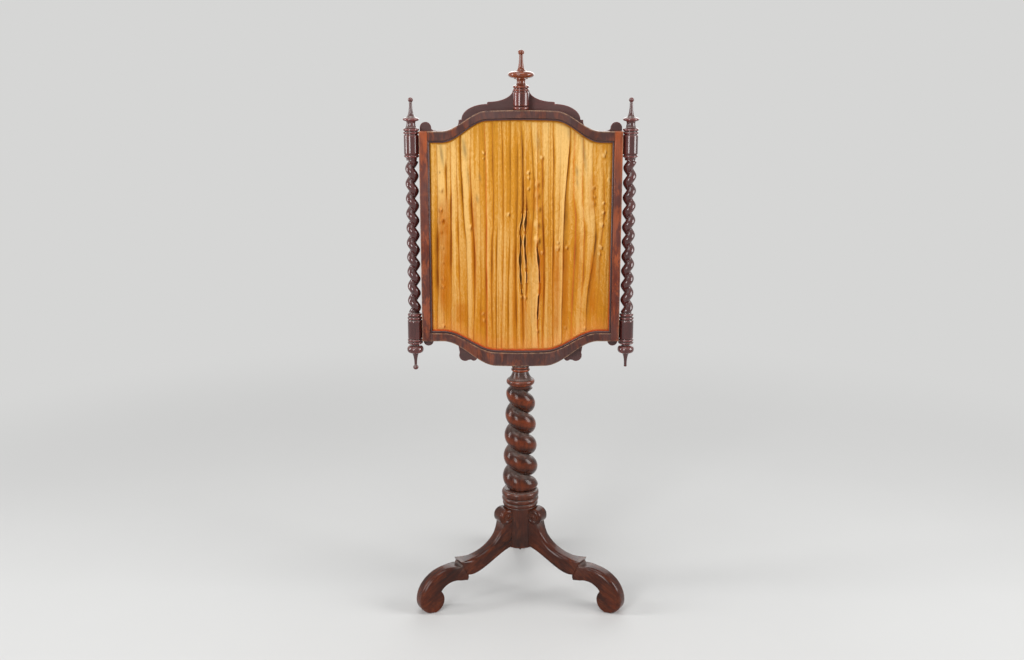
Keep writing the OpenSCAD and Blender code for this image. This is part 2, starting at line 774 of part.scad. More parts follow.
module backing_board() {
    half = rail_half - glue_fit;
    xs = across(half);
    color(pale_wood) placed() plate(backing_y, backing_y + backing_t) polygon(concat(
        [for (x = xs) [x, top_inner(x) - glue_fit]], reversed([for (x = xs) [x, foot_inner(x) + glue_fit]])
    ));
}

// Beads round the back of the board
module bead_side(side) {
    low = foot_inner(rail_half) + glue_fit;
    color(pale_wood) placed()
        translate([side > 0 ? rail_half - bead_t : -rail_half, bead_y, low])
            cube([bead_t, bead_t, top_inner(rail_half) - glue_fit - low]);
}

module bead_left() { bead_side(-1); }
module bead_right() { bead_side(1); }

module bead_top() {
    line = top_line(rail_half - bead_t);
    color(pale_wood) placed() plate(bead_y, bead_y + bead_t)
        polygon(concat(line, reversed([for (p = line) p - [0, bead_t]])));
}

module bead_bottom() {
    line = foot_line(rail_half - bead_t);
    color(pale_wood) placed() plate(bead_y, bead_y + bead_t)
        polygon(concat([for (p = line) p + [0, bead_t]], reversed(line)));
}

// Shaped boards behind the rails

top_screw_zs = [for (x = screw_xs) (top_edge(x) + top_inner(x)) / 2];
foot_screw_zs = [for (x = screw_xs) (foot_edge(x) + foot_inner(x)) / 2];
board_back = back_y + board_t;

module screw_holes(zs) {
    for (side = [-1, 1], i = [0:len(screw_xs) - 1])
        translate([side * screw_xs[i], board_back + 1, zs[i]])
            rotate([90, 0, 0]) cylinder(d = screw_d + 2 * glue_fit, h = screw_l + 2);
}

module board_screws() {
    sink = (screw_head_d - screw_d) / 2;
    color(iron) placed()
        for (side = [-1, 1], zs = [top_screw_zs, foot_screw_zs], i = [0:len(screw_xs) - 1])
            translate([side * screw_xs[i], board_back, zs[i]]) rotate([90, 0, 0]) turned([
                [0, 0], [screw_head_d / 2, 0], [screw_d / 2, sink],
                [screw_d / 2, screw_l - 5], [0, screw_l]
            ]);
}

module screw_sinks(zs) {
    sink = (screw_head_d - screw_d) / 2;
    for (side = [-1, 1], i = [0:len(screw_xs) - 1])
        translate([side * screw_xs[i], board_back, zs[i]]) rotate([90, 0, 0])
            cylinder(d1 = screw_head_d + 2 * glue_fit, d2 = screw_d + 2 * glue_fit, h = sink);
}

// Right half of the crest's upper edge, from the peak behind the finial to the ear
function crest_edge() =
    let(
        peak = panel_top + crest_h,
        step_z = panel_top + crest_step_h,
        low_z = panel_top + crest_low_h,
        ear_in = panel_half - 2 * ear_r
    )
    concat(
        [[crest_peak_x, peak]],
        quarter_up([crest_peak_x, peak], [crest_step_x - crest_nick, step_z + crest_nick / 2], 8),
        [[crest_step_x, step_z], [crest_step_x, step_z - crest_nick]],
        quarter([crest_step_x, step_z - crest_nick], [crest_low_x - 2 * crest_nick, low_z + 1], 8),
        [[crest_low_x, low_z], [crest_low_x, low_z - crest_nick]],
        quarter_up([crest_low_x, low_z - crest_nick], [crest_end_x, panel_top], 6),
        [[ear_in - 0.9 * ear_r, panel_top]],
        quarter([ear_in - 0.9 * ear_r, panel_top], [ear_in + 0.1 * ear_r, panel_top + ear_r / 2], 5)
    );

module crest_board() {
    edge = crest_edge();
    low = 6;
    ear_x = panel_half - ear_r;
    xs = across(panel_half);
    color(rosewood) placed() difference() {
        plate(back_y, board_back) union() {
            polygon(concat(
                [for (x = xs) [x, top_inner(x) + low]],
                [[panel_half, panel_top + ear_r / 2]], reversed(edge),
                [for (p = edge) [-p[0], p[1]]], [[-panel_half, panel_top + ear_r / 2]]
            ));
            for (side = [-1, 1]) translate([side * ear_x, panel_top + ear_r / 2]) circle(r = ear_r);
        }
        screw_holes(top_screw_zs);
        screw_sinks(top_screw_zs);
    }
}

// Right half of the apron's lower edge, from the middle to the ear
function apron_edge() =
    let(
        small_c = [103, seat_z + 12],
        lobe_c = [122, seat_z + 17],
        tuck = 1,
        ear_c = [panel_half - apron_ear_r, panel_z - 6]
    )
    concat(
        [for (i = [0:8]) let(x = 10.5 * i) [x, foot_edge(x) + tuck]],
        arc(small_c, small_lobe_r, 200, 320, 8),
        arc(lobe_c, lobe_r, 235, 385, 12),
        [for (i = [0:5]) let(x = 138 + 8 * i) [x, foot_edge(x) + tuck]],
        [[panel_half - 2 * apron_ear_r, panel_z + tuck]],
        arc(ear_c, apron_ear_r, 180, 360, 12)
    );

module apron_board() {
    edge = apron_edge();
    low = 6;
    xs = across(panel_half);
    color(rosewood) placed() difference() {
        plate(back_y, board_back) polygon(concat(
            [for (x = xs) [x, foot_inner(x) - low]], reversed(edge), [for (p = edge) [-p[0], p[1]]]
        ));
        screw_holes(foot_screw_zs);
        screw_sinks(foot_screw_zs);
    }
}

// Centre finial, which stands on the top rail in front of the crest
finial_y = -(finial_d / 2 + 0.6 - back_y) - glue_fit;
finial_seat = top_edge(0);
spigot_d = 9;
spigot_l = 11;

module centre_finial() {
    r = finial_d / 2;
    top = finial_h;
    profile = concat(
        [[0, -spigot_l], [spigot_d / 2, -spigot_l], [spigot_d / 2, 0]],
        bead(r - 2.4, 2.4, 0, 7),
        [[r - 3.4, 7.6], [r - 2, 8.6], [r, 35.5], [r - 2, 37]],
        bead(r - 2, 2.3, 38, 43.6),
        bead(r - 2, 2.6, 44, 50),
        quarter([r - 3, 50.5], [9, 57]),
        quarter_up([9, 59], [15, 63]),
        bead(15, finial_disc_d / 2 - 15, 64.5, 78.5, 12),
        [[10, 79]],
        quarter([9.4, 80.5], [4, top - 10], 8),
        arc([0, top - 5], 6.6, -48, 0, 3),
        quarter_up([6.6, top - 5], [0, top])
    );
    color(finial_wood) placed() translate([0, finial_y, finial_seat]) turned(profile);
}

// Side columns

// Upper end: shoulder bead, cylinder, two beads and a spire with a disc and a ball
module side_cap(side) {
    r = end_r;
    beads_z = side_shoulder + end_h;
    spire_z = beads_z + side_beads - 1;
    top = spire_z + spire_h;
    disc_r = spire_disc_d / 2;
    profile = concat(
        [[0, 0], [r - side_neck, 0], [r - side_neck, 1.5]],
        quarter_up([r - side_neck, 1.5], [r - 2, side_shoulder - 7]),
        bead(r - 2, 2.4, side_shoulder - 6.4, side_shoulder - 1.4),
        [[r - 1.6, side_shoulder - 0.8], [r, side_shoulder], [r, beads_z], [r - 2, beads_z + 1.6]],
        bead(r - 2, 2 + end_bead, beads_z + 2.5, beads_z + 8),
        bead(r - 2, 2 + end_bead, beads_z + 8.6, beads_z + 14.4),
        quarter([r - 1.6, spire_z - 1], [9.2, spire_z + 10]),
        [[10, spire_z + 12]],
        bead(10.5, disc_r - 10.5, spire_z + 13, spire_z + 20.5),
        quarter([9.8, spire_z + 21.5], [3.3, top - 11], 8),
        arc([0, top - 5.2], 5.4, -54, 0, 3),
        quarter_up([5.4, top - 5.2], [0, top])
    );
    color(rosewood) placed() difference() {
        translate([side * side_x, 0, cap_bottom]) turned(profile);
        dowels(side, glue_fit);
    }
}

module side_cap_left() { side_cap(-1); }
module side_cap_right() { side_cap(1); }

// Lower end, drawn downwards: shoulder, cylinder, two beads and a drop
module side_drop(side, ball) {
    r = end_r;
    beads_z = side_shoulder + 5 + end_h;
    drop_z = beads_z + side_beads - 3;
    end = drop_z + drop_h;
    stem_r = 3;
    tip = ball
        ? concat(
            [[stem_r, end - 10.6]], arc([0, end - 5.4], 5.9, -58, 0, 3),
            quarter_up([5.9, end - 5.4], [0, end])
        )
        : [[stem_r, end - 10.6], [stem_r + 0.5, end - 9], [stem_r - 0.4, end - 7.4], [0, end - 7]];
    profile = concat(
        [[0, 0], [r - side_neck, 0], [r - side_neck, 1]],
        bead(r - 3.4, 2.8, 2, 8.6),
        bead(r - 2.2, 2.4, 9.6, side_shoulder + 2.6),
        [[r - 1.6, side_shoulder + 4], [r, side_shoulder + 5], [r, beads_z], [r - 2, beads_z + 1]],
        bead(r - 2, 2 + end_bead, beads_z + 1.6, beads_z + 7),
        bead(r - 2, 2 + end_bead, beads_z + 7.6, beads_z + 13),
        [[8.3, drop_z]],
        [[8.3, drop_z + 2.5]],
        quarter([8.3, drop_z + 2.5], [drop_disc_d / 2, drop_z + 11]),
        quarter_up([drop_disc_d / 2, drop_z + 12], [12, drop_z + 19]),
        quarter([10, drop_z + 19.5], [stem_r, end - 13], 8),
        tip
    );
    color(rosewood) placed() difference() {
        translate([side * side_x, 0, drop_top]) mirror([0, 0, 1]) turned(profile);
        dowels(side, glue_fit);
    }
}

module side_drop_left() { side_drop(-1, true); }
// The ball is missing from the right drop
module side_drop_right() { side_drop(1, false); }

// Twisted shaft between the ends, left-handed at the left and right-handed at the right
side_steps = 144;
side_sides = 12;
side_neck = 4.5;

module side_twist(side) {
    r = side_twist_d / 2;
    start = side > 0 ? -43 : 124;
    neck = end_r - side_neck;
    // A slim strand with a wide groove
    strand = function(turn) pow((1 + cos(turn)) / 2, 0.9);
    rings = twist_rings(
        cap_bottom - drop_top, side_pitch, -1, start, side_steps, side_sides,
        [r, r], side_groove, 2, strand, [neck, neck], 5
    );
    color(rosewood) placed() mirror([side > 0 ? 1 : 0, 0, 0]) translate([-side_x, 0, drop_top]) twist(rings);
}

module side_twist_left() { side_twist(-1); }
module side_twist_right() { side_twist(1); }

module side_dowels() {
    color(pale_wood) placed() for (side = [-1, 1]) dowels(side, 0);
}

column_base();
column_twist();
column_cap();
base_screw();
leg_left();
leg_right();
leg_rear();
leg_dowels();
pole();
pole_collar();
pole_spring();
stile_left();
stile_right();
top_rail();
bottom_rail();
slip_left();
slip_right();
slip_top();
slip_bottom();
silk_panel();
backing_board();
bead_left();
bead_right();
bead_top();
bead_bottom();
crest_board();
apron_board();
board_screws();
centre_finial();
side_cap_left();
side_cap_right();
side_twist_left();
side_twist_right();
side_drop_left();
side_drop_right();
side_dowels();
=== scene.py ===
"""Dresses the pole screen: pleated silk, turnings, twists, legs, frame and boards, and sets the stage."""

import math
import random

import bmesh
import bpy
import numpy as np
from bpy.props import FloatProperty, FloatVectorProperty, IntProperty, PointerProperty
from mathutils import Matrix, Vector


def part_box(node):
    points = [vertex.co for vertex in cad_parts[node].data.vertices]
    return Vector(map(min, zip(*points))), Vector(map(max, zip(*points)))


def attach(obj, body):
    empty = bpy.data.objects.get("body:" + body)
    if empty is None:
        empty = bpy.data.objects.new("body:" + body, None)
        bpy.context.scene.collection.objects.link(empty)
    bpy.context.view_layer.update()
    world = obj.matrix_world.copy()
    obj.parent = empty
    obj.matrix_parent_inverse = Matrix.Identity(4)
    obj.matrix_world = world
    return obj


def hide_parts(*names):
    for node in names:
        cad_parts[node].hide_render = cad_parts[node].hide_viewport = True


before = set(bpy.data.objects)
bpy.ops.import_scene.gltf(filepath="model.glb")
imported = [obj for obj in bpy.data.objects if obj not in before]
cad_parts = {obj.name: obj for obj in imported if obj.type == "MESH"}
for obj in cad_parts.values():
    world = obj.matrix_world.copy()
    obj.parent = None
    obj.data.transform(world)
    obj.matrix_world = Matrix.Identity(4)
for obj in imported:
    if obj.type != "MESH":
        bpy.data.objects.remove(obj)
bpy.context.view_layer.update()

bl_info = {
    "name": "Pole Screen",
    "version": (1, 0, 0),
    "blender": (4, 5, 0),
    "location": "3D View > Sidebar > Pole Screen",
    "description": "Builds the finished pieces of a pole screen round its solids",
    "category": "Object",
}

# Lengths inside the shape functions are millimetres about the column's axis
MM = 0.001


def height_of(node):
    """Lowest and highest height of a solid, in millimetres."""
    low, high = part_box(node)
    return low[2] / MM, high[2] / MM


AXIS_Y = sum(corner[1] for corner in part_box("pole_collar")) / 2 / MM
TWIST_Z, CAP_Z = height_of("column_twist")
COLUMN_TOP, SEAT_Z = height_of("pole_collar")
PANEL_Z, PANEL_TOP = height_of("stile_left")
PANEL_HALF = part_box("stile_right")[1][0] / MM
RAIL_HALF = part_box("stile_right")[0][0] / MM
SIDE_X = sum(corner[0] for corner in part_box("side_twist_right")) / 2 / MM
SIDE_FOOT, SIDE_TOP = height_of("side_twist_right")
FACE_Y, BACK_Y = -15.0, 15.0
BOARD_BACK = 24.0
SLIP_Y, SLIP_BACK = -12.0, -5.0
SILK_BACK = -1.7
BACKING_Y, BACKING_BACK = -1.0, 4.0
BEAD_T = 6.0
SLIP_W = 4.0
SIGHT_HALF = RAIL_HALF - SLIP_W
POLE_R, BORE_ROOM = 10.5, 0.6
# Gap under the panel, so that it turns clear of the pole's collar
RUNNING_ROOM = 0.2
HUB_Z, HUB_H, HUB_R = 112, 92, 36.5
SIDE_R, SIDE_NECK, SIDE_SHOULDER, SIDE_END = 15.7, 11.2, 13, 39
SIDES = ((-1, "left"), (1, "right"))
# Shaped rails: rise of the outer and of the inner edge, half width of the crown, end of the shoulder, width
TOP_RISE, TOP_SIGHT_RISE, TOP_CROWN, TOP_END, TOP_RAIL_W = 43.5, 46.5, 71, 167, 19.5
FOOT_RISE, FOOT_SIGHT_RISE, FOOT_CROWN, FOOT_END, FOOT_RAIL_W = 56, 44, 53, 168, 18
# How far the crest and the apron stop short of the opening, and the dullness of their polish
BOARD_LAP, BOARD_FILM = 6, 0.95
# Gap between the silk and the frame
SILK_GAP = 0.3
# Mesh steps along a shaped bar, least radius of a turning, and the angle from which an edge is sharp
BAR_STEPS, LEAST_R, SHARP_ANGLE = 192, 0.02, math.radians(50)
FLOOR_R, SENSOR_WIDTH = 14.0, 36


def srgb(*display):
    """Linear colour of display values from 0 to 255."""
    shares = [value / 255 for value in display]
    return tuple(c / 12.92 if c <= 0.04045 else ((c + 0.055) / 1.055) ** 2.4 for c in shares)


# Colour, roughness and share of rust of the metals
SCREW_IRON = (srgb(86, 82, 78), 0.42, 0.8)
SPRING_STEEL = (srgb(128, 126, 122), 0.34, 0.3)


def colour(name, description, default):
    return FloatVectorProperty(
        name=name, description=description, subtype="COLOR", size=3, min=0, max=1, default=srgb(*default)
    )


def length(name, description, default):
    return FloatProperty(name=name, description=description, unit="LENGTH", min=0, default=default)


def share(name, description, default):
    return FloatProperty(name=name, description=description, subtype="FACTOR", min=0, max=1, default=default)


class WoodLook(bpy.types.PropertyGroup):
    """Colours and polish of the woods"""
    base_dark: colour("Base, dark", "Dark figure of the column and the legs", (34, 11, 4))
    base_light: colour("Base, light", "Light figure of the column and the legs", (91, 36, 15))
    stile_dark: colour("Stile, dark", "Dark figure of the stiles", (80, 30, 23))
    stile_light: colour("Stile, light", "Light figure of the stiles", (140, 66, 42))
    veneer_dark: colour("Veneer, dark", "Dark figure of the cross-banded rails", (66, 38, 34))
    veneer_light: colour("Veneer, light", "Light figure of the cross-banded rails", (104, 62, 54))
    side_dark: colour("Side column, dark", "Dark figure of the side columns and boards", (56, 20, 19))
    side_light: colour("Side column, light", "Light figure of the side columns and boards", (112, 50, 46))
    finial_dark: colour("Finial, dark", "Dark figure of the finial", (86, 28, 2))
    finial_light: colour("Finial, light", "Light figure of the finial", (156, 68, 6))
    slip_dark: colour("Slip, dark", "Dark figure of the slips", (72, 50, 49))
    slip_light: colour("Slip, light", "Light figure of the slips", (118, 90, 87))
    back_dark: colour("Back, dark", "Dark figure of the plain wood behind the silk", (110, 78, 48))
    back_light: colour("Back, light", "Light figure of the plain wood behind the silk", (164, 126, 84))
    flush: colour("Flush", "Warm patches where the polish is thin", (214, 106, 48))
    haze: colour("Haze", "Dull film of old polish", (96, 76, 74))
    worn: colour("Worn edge", "Colour of edges rubbed through the polish", (176, 140, 112))
    # Rubbed colours are worn wood and also a painted highlight: rubbed is orange on the base's crests, ring
    # is red on the side columns' rings
    rubbed: colour("Rubbed crest", "Colour of the base's rubbed rings and crests", (172, 76, 32))
    ring: colour("Rubbed ring", "Colour of the side columns' rubbed rings", (150, 52, 44))
    # Also the colour of the painted pale sheen that upward faces get along with the dust
    dust: colour("Dust", "Colour of the dust in grooves and on ledges", (140, 130, 124))
    polish: share("Polish", "Strength of the clear coat", 0.45)
    arris: length("Arris", "Rounding of the frame's edges", 0.0013)


class SilkLook(bpy.types.PropertyGroup):
    """Colours and folds of the silk"""
    gold: colour("Gold", "Colour of the silk in plain light", (206, 136, 36))
    # light and deep are painted light and shade: the pale crests are partly fading and partly a painted
    # highlight, and deep is painted shade down in the folds and in the creases' dark lines, and also the
    # colour of the small specks
    light: colour("Light", "Faded colour on the crests of the folds", (238, 190, 116))
    deep: colour("Deep", "Colour down in the folds", (106, 44, 1))
    red: colour("Red", "Unfaded colour in creases and along the edges", (236, 96, 52))
    brown: colour("Stain", "Colour of the brown stains", (182, 96, 2))
    blush: colour("Blush", "Pink tone towards the foot", (236, 140, 78))
    # Painted shade: gap is the dark colour put on the cloth where it parts at the splits
    gap: colour("Split", "Colour seen through the splits", (70, 30, 6))
    fold_depth: length("Fold depth", "Height of the folds over the lining", 0.0054)
    thickness: length("Thickness", "Thickness of the cloth", 0.0004)
    columns: IntProperty(name="Columns", description="Mesh columns across one fold", min=6, default=20)
    rows: IntProperty(name="Rows", description="Mesh rows down the silk", min=20, default=360)


class TwistSizes(bpy.types.PropertyGroup):
    """Sizes of the twisted shafts"""
    pitch: length("Pitch", "Height of one turn of the column's twist", 0.0485)
    groove: length("Groove", "Depth of the column's groove", 0.019)
    foot_d: length("Foot diameter", "Outer diameter of the column's twist at its foot", 0.081)
    top_d: length("Top diameter", "Outer diameter of the column's twist at its top", 0.062)
    side_pitch: length("Side pitch", "Height of one turn of a side twist", 0.0315)
    side_groove: length("Side groove", "Depth of a side twist's groove", 0.008)
    side_d: length("Side diameter", "Outer diameter of a side twist", 0.0284)


def tinted(shade, factor):
    """Colour made darker or lighter by a factor."""
    return tuple(c * factor for c in shade)


class StageLook(bpy.types.PropertyGroup):
    """Floor, light and camera"""
    floor: colour("Floor", "Colour of the floor", (206, 206, 205))
    backdrop: colour("Backdrop", "Colour of the world behind the object", (214, 214, 213))
    world_light: FloatProperty(
        name="World light", description="Strength of the even light", min=0, default=0.26
    )
    lamp_power: FloatProperty(
        name="Lamp power", description="Power of the main lamps", unit="POWER", default=36.0
    )
    lens: FloatProperty(
        name="Lens", description="Focal length in millimetres", unit="CAMERA", default=39.81
    )
    aside: FloatProperty(
        name="Aside", description="Place of the camera across", unit="LENGTH", default=-0.0187
    )
    distance: length("Distance", "Distance of the camera from the column's axis", 2.4)
    eye_height: length("Eye height", "Height of the camera", 1.1745)
    look_down: FloatProperty(
        name="Look down", description="Angle below the horizon", subtype="ANGLE", default=math.radians(13.303)
    )


# Outlines


def bead(r, out, a, b, n=16):
    """Half-round bead on radius r, from height a to height b."""
    turns = [math.pi * i / n for i in range(n + 1)]
    return [(r + out * math.sin(t), a + (b - a) * (1 - math.cos(t)) / 2) for t in turns]


def quarter(p, q, n=12):
    """Quarter curve that leaves p along the first coordinate and meets q along the second."""
    turns = [math.pi / 2 * i / n for i in range(n + 1)]
    return [(p[0] + (q[0] - p[0]) * math.sin(t), p[1] + (q[1] - p[1]) * (1 - math.cos(t))) for t in turns]


def quarter_up(p, q, n=12):
    """Quarter curve that leaves p along the second coordinate and meets q along the first."""
    return [(x, z) for z, x in quarter(p[::-1], q[::-1], n)]


def arc(c, r, a, b, n):
    """Arc about c from angle a to angle b, in degrees."""
    turns = [math.radians(a + (b - a) * i / n) for i in range(n + 1)]
    return [(c[0] + r * math.cos(t), c[1] + r * math.sin(t)) for t in turns]


def swing(p, u, v, q, n):
    """Inner points of a cubic curve from p to q with handles u and v."""
    points = []
    for i in range(1, n):
        t = i / n
        s = 1 - t
        weights = (s * s * s, 3 * s * s * t, 3 * s * t * t, t * t * t)
        points.append(tuple(sum(w * k[axis] for w, k in zip(weights, (p, u, v, q))) for axis in (0, 1)))
    return points


def moved(p, dx, dz):
    """Point shifted across and up."""
    return (p[0] + dx, p[1] + dz)


def shoulder(x, inner, outer):
    """Share of a shoulder's height: 1 up to inner, 0 from outer, and a smooth slope between them."""
    x = abs(x)
    if x <= inner:
        return 1.0
    return 0.0 if x >= outer else (1 + math.cos(math.pi * (x - inner) / (outer - inner))) / 2


def arch(x, rise, inner, outer, bow=5.0):
    """Height of a rail's shaped edge over its ends."""
    crown = 0.0 if abs(x) >= outer else (1 - (x / outer) ** 2) ** 2
    return (rise - bow) * shoulder(x, inner, outer) + bow * crown


def top_edge(x):
    return PANEL_TOP + arch(x, TOP_RISE, TOP_CROWN, TOP_END)


def top_inner(x):
    return PANEL_TOP - TOP_RAIL_W + arch(x, TOP_SIGHT_RISE, TOP_CROWN, TOP_END)


def foot_edge(x):
    return PANEL_Z - arch(x, FOOT_RISE, FOOT_CROWN, FOOT_END)


def foot_inner(x):
    return PANEL_Z + FOOT_RAIL_W - arch(x, FOOT_SIGHT_RISE, FOOT_CROWN, FOOT_END)


def across(half, steps):
    """Even places from one end to the other."""
    return [-half + 2 * half * i / steps for i in range(steps + 1)]


def mirrored(edge):
    """Whole edge from its right half, from right to left."""
    return list(reversed(edge)) + [(-x, z) for x, z in edge if x > 0.001]


# Mesh making


def ring_faces(count, size, loop=False, ends=True, start=0):
    """Faces between rings of points that follow each other, closed in a loop or by flat ends."""
    faces = []
    for k in range(count if loop else count - 1):
        a, b = start + k * size, start + (k + 1) % count * size
        for i in range(size):
            j = (i + 1) % size
            faces.append((a + i, a + j, b + j, b + i))
    if ends and not loop:
        last = start + (count - 1) * size
        faces += [tuple(range(start, start + size)), tuple(range(last, last + size))]
    return faces


def set_marks(mesh, marks):
    """Per-point marks that the materials read."""
    for key, values in marks.items():
        values = np.asarray(values, dtype=np.float32)
        kind = "FLOAT_VECTOR" if values.ndim == 2 else "FLOAT"
        layer = mesh.attributes.new(key, kind, "POINT")
        layer.data.foreach_set("vector" if values.ndim == 2 else "value", values.ravel())


def level_grain(points):
    """Grain that runs along X, where it runs up the piece without this."""
    return np.array([(z, y, x) for x, y, z in points]) * MM


def make_piece(name, points, faces, finish, body, nodes, marks=None, flat=False):
    """Piece from millimetre points about the axis, with its finish, its body and the solids it stands for."""
    places = (np.array(points, dtype=np.float64) + (0, AXIS_Y, 0)) * MM
    mesh = bpy.data.meshes.new(name)
    mesh.from_pydata([tuple(p) for p in places], [], faces)
    work = bmesh.new()
    work.from_mesh(mesh)
    bmesh.ops.recalc_face_normals(work, faces=work.faces)
    work.to_mesh(mesh)
    work.free()
    plain = np.zeros(len(places))
    set_marks(mesh, {"grain": places, "wear": plain, "dust": plain, **(marks or {})})
    mesh.polygons.foreach_set("use_smooth", [True] * len(mesh.polygons))
    mesh.set_sharp_from_angle(angle=SHARP_ANGLE)
    piece = bpy.data.objects.new(name, mesh)
    bpy.context.scene.collection.objects.link(piece)
    mesh.materials.append(finish)
    if flat:
        weighted = piece.modifiers.new("Flat faces", "WEIGHTED_NORMAL")
        weighted.keep_sharp = True
        weighted.weight = 100
    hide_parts(*nodes)
    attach(piece, body)
    return piece


def relief(outline, reach=3.0):
    """How far each point of a turned outline stands proud of the line around it, from -1 to 1."""
    radii = np.array([p[0] for p in outline])
    heights = np.array([p[1] for p in outline])
    order = np.argsort(heights, kind="stable")
    result = []
    for r, z in outline:
        around = np.interp(np.linspace(z - reach, z + reach, 15), heights[order], radii[order])
        result.append((r - around.mean()) / 0.8)
    return np.clip(result, -1, 1)


def close_points(outline, run=6.0, inset=2.5):
    """Outline with extra points near the ends of its long straight runs, which keep wear at the edges."""
    result = [outline[0]]
    for p, q in zip(outline, outline[1:]):
        span = math.dist(p, q)
        if span > run:
            for t in (inset / span, 0.5, 1 - inset / span):
                result.append((p[0] + (q[0] - p[0]) * t, p[1] + (q[1] - p[1]) * t))
        result.append(q)
    return result


def turned(name, outline, finish, body, nodes, centre=(0, 0), base=0.0, down=False, bore=None, sides=96,
           seed=0.0, rub=1.0):
    """Turned piece from an outline of radius and height; bore adds the inner outline of a hollow one."""
    outline = close_points(outline)
    whole = [(r, z, w) for (r, z), w in zip(outline, relief(outline))] + [(r, z, 0.0) for r, z in bore or []]
    points, wear, dust = [], [], []
    for r, z, w in whole:
        r = max(r, LEAST_R)
        height = base - z if down else base + z
        for i in range(sides):
            a = 2 * math.pi * i / sides
            points.append((centre[0] + r * math.cos(a), centre[1] + r * math.sin(a), height))
        # Rubbed colour on the proud crests: worn wood, and a painted highlight
        wear += [rub * max(0.0, w)] * sides
        # Hollows hold more dust and every point some; on upward faces the finish shows it as dust and as a
        # painted pale sheen
        dust += [min(1.0, 0.3 + max(0.0, -w))] * sides
    faces = ring_faces(len(whole), sides, loop=bool(bore))
    places = (np.array(points) + (seed * 37.0, AXIS_Y, seed * 113.0)) * MM
    return make_piece(name, points, faces, finish, body, nodes, {"wear": wear, "dust": dust, "grain": places})


def inset_line(line, amount):
    """Closed outline drawn in by an amount that may differ from point to point."""
    n = len(line)
    area = sum(line[i][0] * line[(i + 1) % n][1] - line[(i + 1) % n][0] * line[i][1] for i in range(n))
    sign = 1 if area > 0 else -1
    result = []
    for i in range(n):
        p, c, q = Vector(line[i - 1][:2]), Vector(line[i][:2]), Vector(line[(i + 1) % n][:2])
        before, after = (c - p), (q - c)
        normal_a = Vector((-before.y, before.x)).normalized() if before.length > 1e-6 else Vector((0, 0))
        normal_b = Vector((-after.y, after.x)).normalized() if after.length > 1e-6 else Vector((0, 0))
        middle = normal_a + normal_b
        scale = 1 / max(0.5, middle.length_squared / 2) if middle.length > 1e-6 else 0.0
        step = middle * scale * sign * (amount[i] if hasattr(amount, "__len__") else amount)
        result.append((c.x + step.x, c.y + step.y))
    return result


def eased_corner(radius, margin, steps):
    """Rounded corner from one flat to the other: how far in from each flat, and the wear there."""
    turns = [math.pi / 2 * i / steps for i in range(steps + 1)]
    curve = [
        (radius * (1 - math.cos(t)), radius * (1 - math.sin(t)), 0.5 + 0.5 * math.sin(2 * t)) for t in turns
    ]
    return [(0.0, radius + margin, 0.0), *curve, (radius + margin, 0.0, 0.0)]


def eased_plate(line, a, b, radius, margin=1.6, steps=3):
    """Points, faces and wear of a plate in X and Z from depth a to depth b with rounded edges."""
    points, wear = [], []
    corner = eased_corner(radius, margin, steps)
    for face, way, rings in ((a, 1, corner), (b, -1, corner[::-1])):
        for depth, inset, mark in rings:
            points += [(x, face + way * depth, z) for x, z in inset_line(line, inset)]
            wear += [mark] * len(line)
    return points, ring_faces(2 * len(corner), len(line)), wear


def barred(xs, low, high, a, b, radius, margin=1.8, steps=3):
    """Points, faces and wear of a bar whose lower and upper edges are functions of X, with rounded edges."""
    points, wear = [], []
    corner = eased_corner(radius, margin, steps)
    back = corner[::-1]
    for x in xs:
        z0, z1 = low(x), high(x)
        for y, z, sy, sz, run in (
            (a, z0, 1, 1, corner), (b, z0, -1, 1, back), (b, z1, -1, -1, corner), (a, z1, 1, -1, back)
        ):
            for dy, dz, mark in run:
                points.append((x, y + sy * dy, z + sz * dz))
                wear.append(mark)
    return points, ring_faces(len(xs), 4 * len(corner)), wear


def line_opening(name, node, finish, width, depths, ease, slack=0.0, flat=False):
    """Four strips round the frame's opening, between two depths; ease is as for a plate's edges."""
    low, high = foot_inner(RAIL_HALF) + slack, top_inner(RAIL_HALF) - slack
    for side, end in SIDES:
        a, b = sorted((side * RAIL_HALF, side * (RAIL_HALF - width)))
        points, faces, wear = eased_plate([(a, low), (a, high), (b, high), (b, low)], *depths, *ease)
        make_piece(name + end, points, faces, finish, "screen", [node + end], {"wear": wear}, flat)
    xs = across(RAIL_HALF - width, BAR_STEPS)
    for end, under, over in (
        ("top", lambda x: top_inner(x) - width, top_inner),
        ("bottom", foot_inner, lambda x: foot_inner(x) + width),
    ):
        points, faces, wear = barred(xs, under, over, *depths, *ease)
        marks = {"wear": wear, "grain": level_grain(points)}
        make_piece(name + end, points, faces, finish, "screen", [node + end], marks, flat)


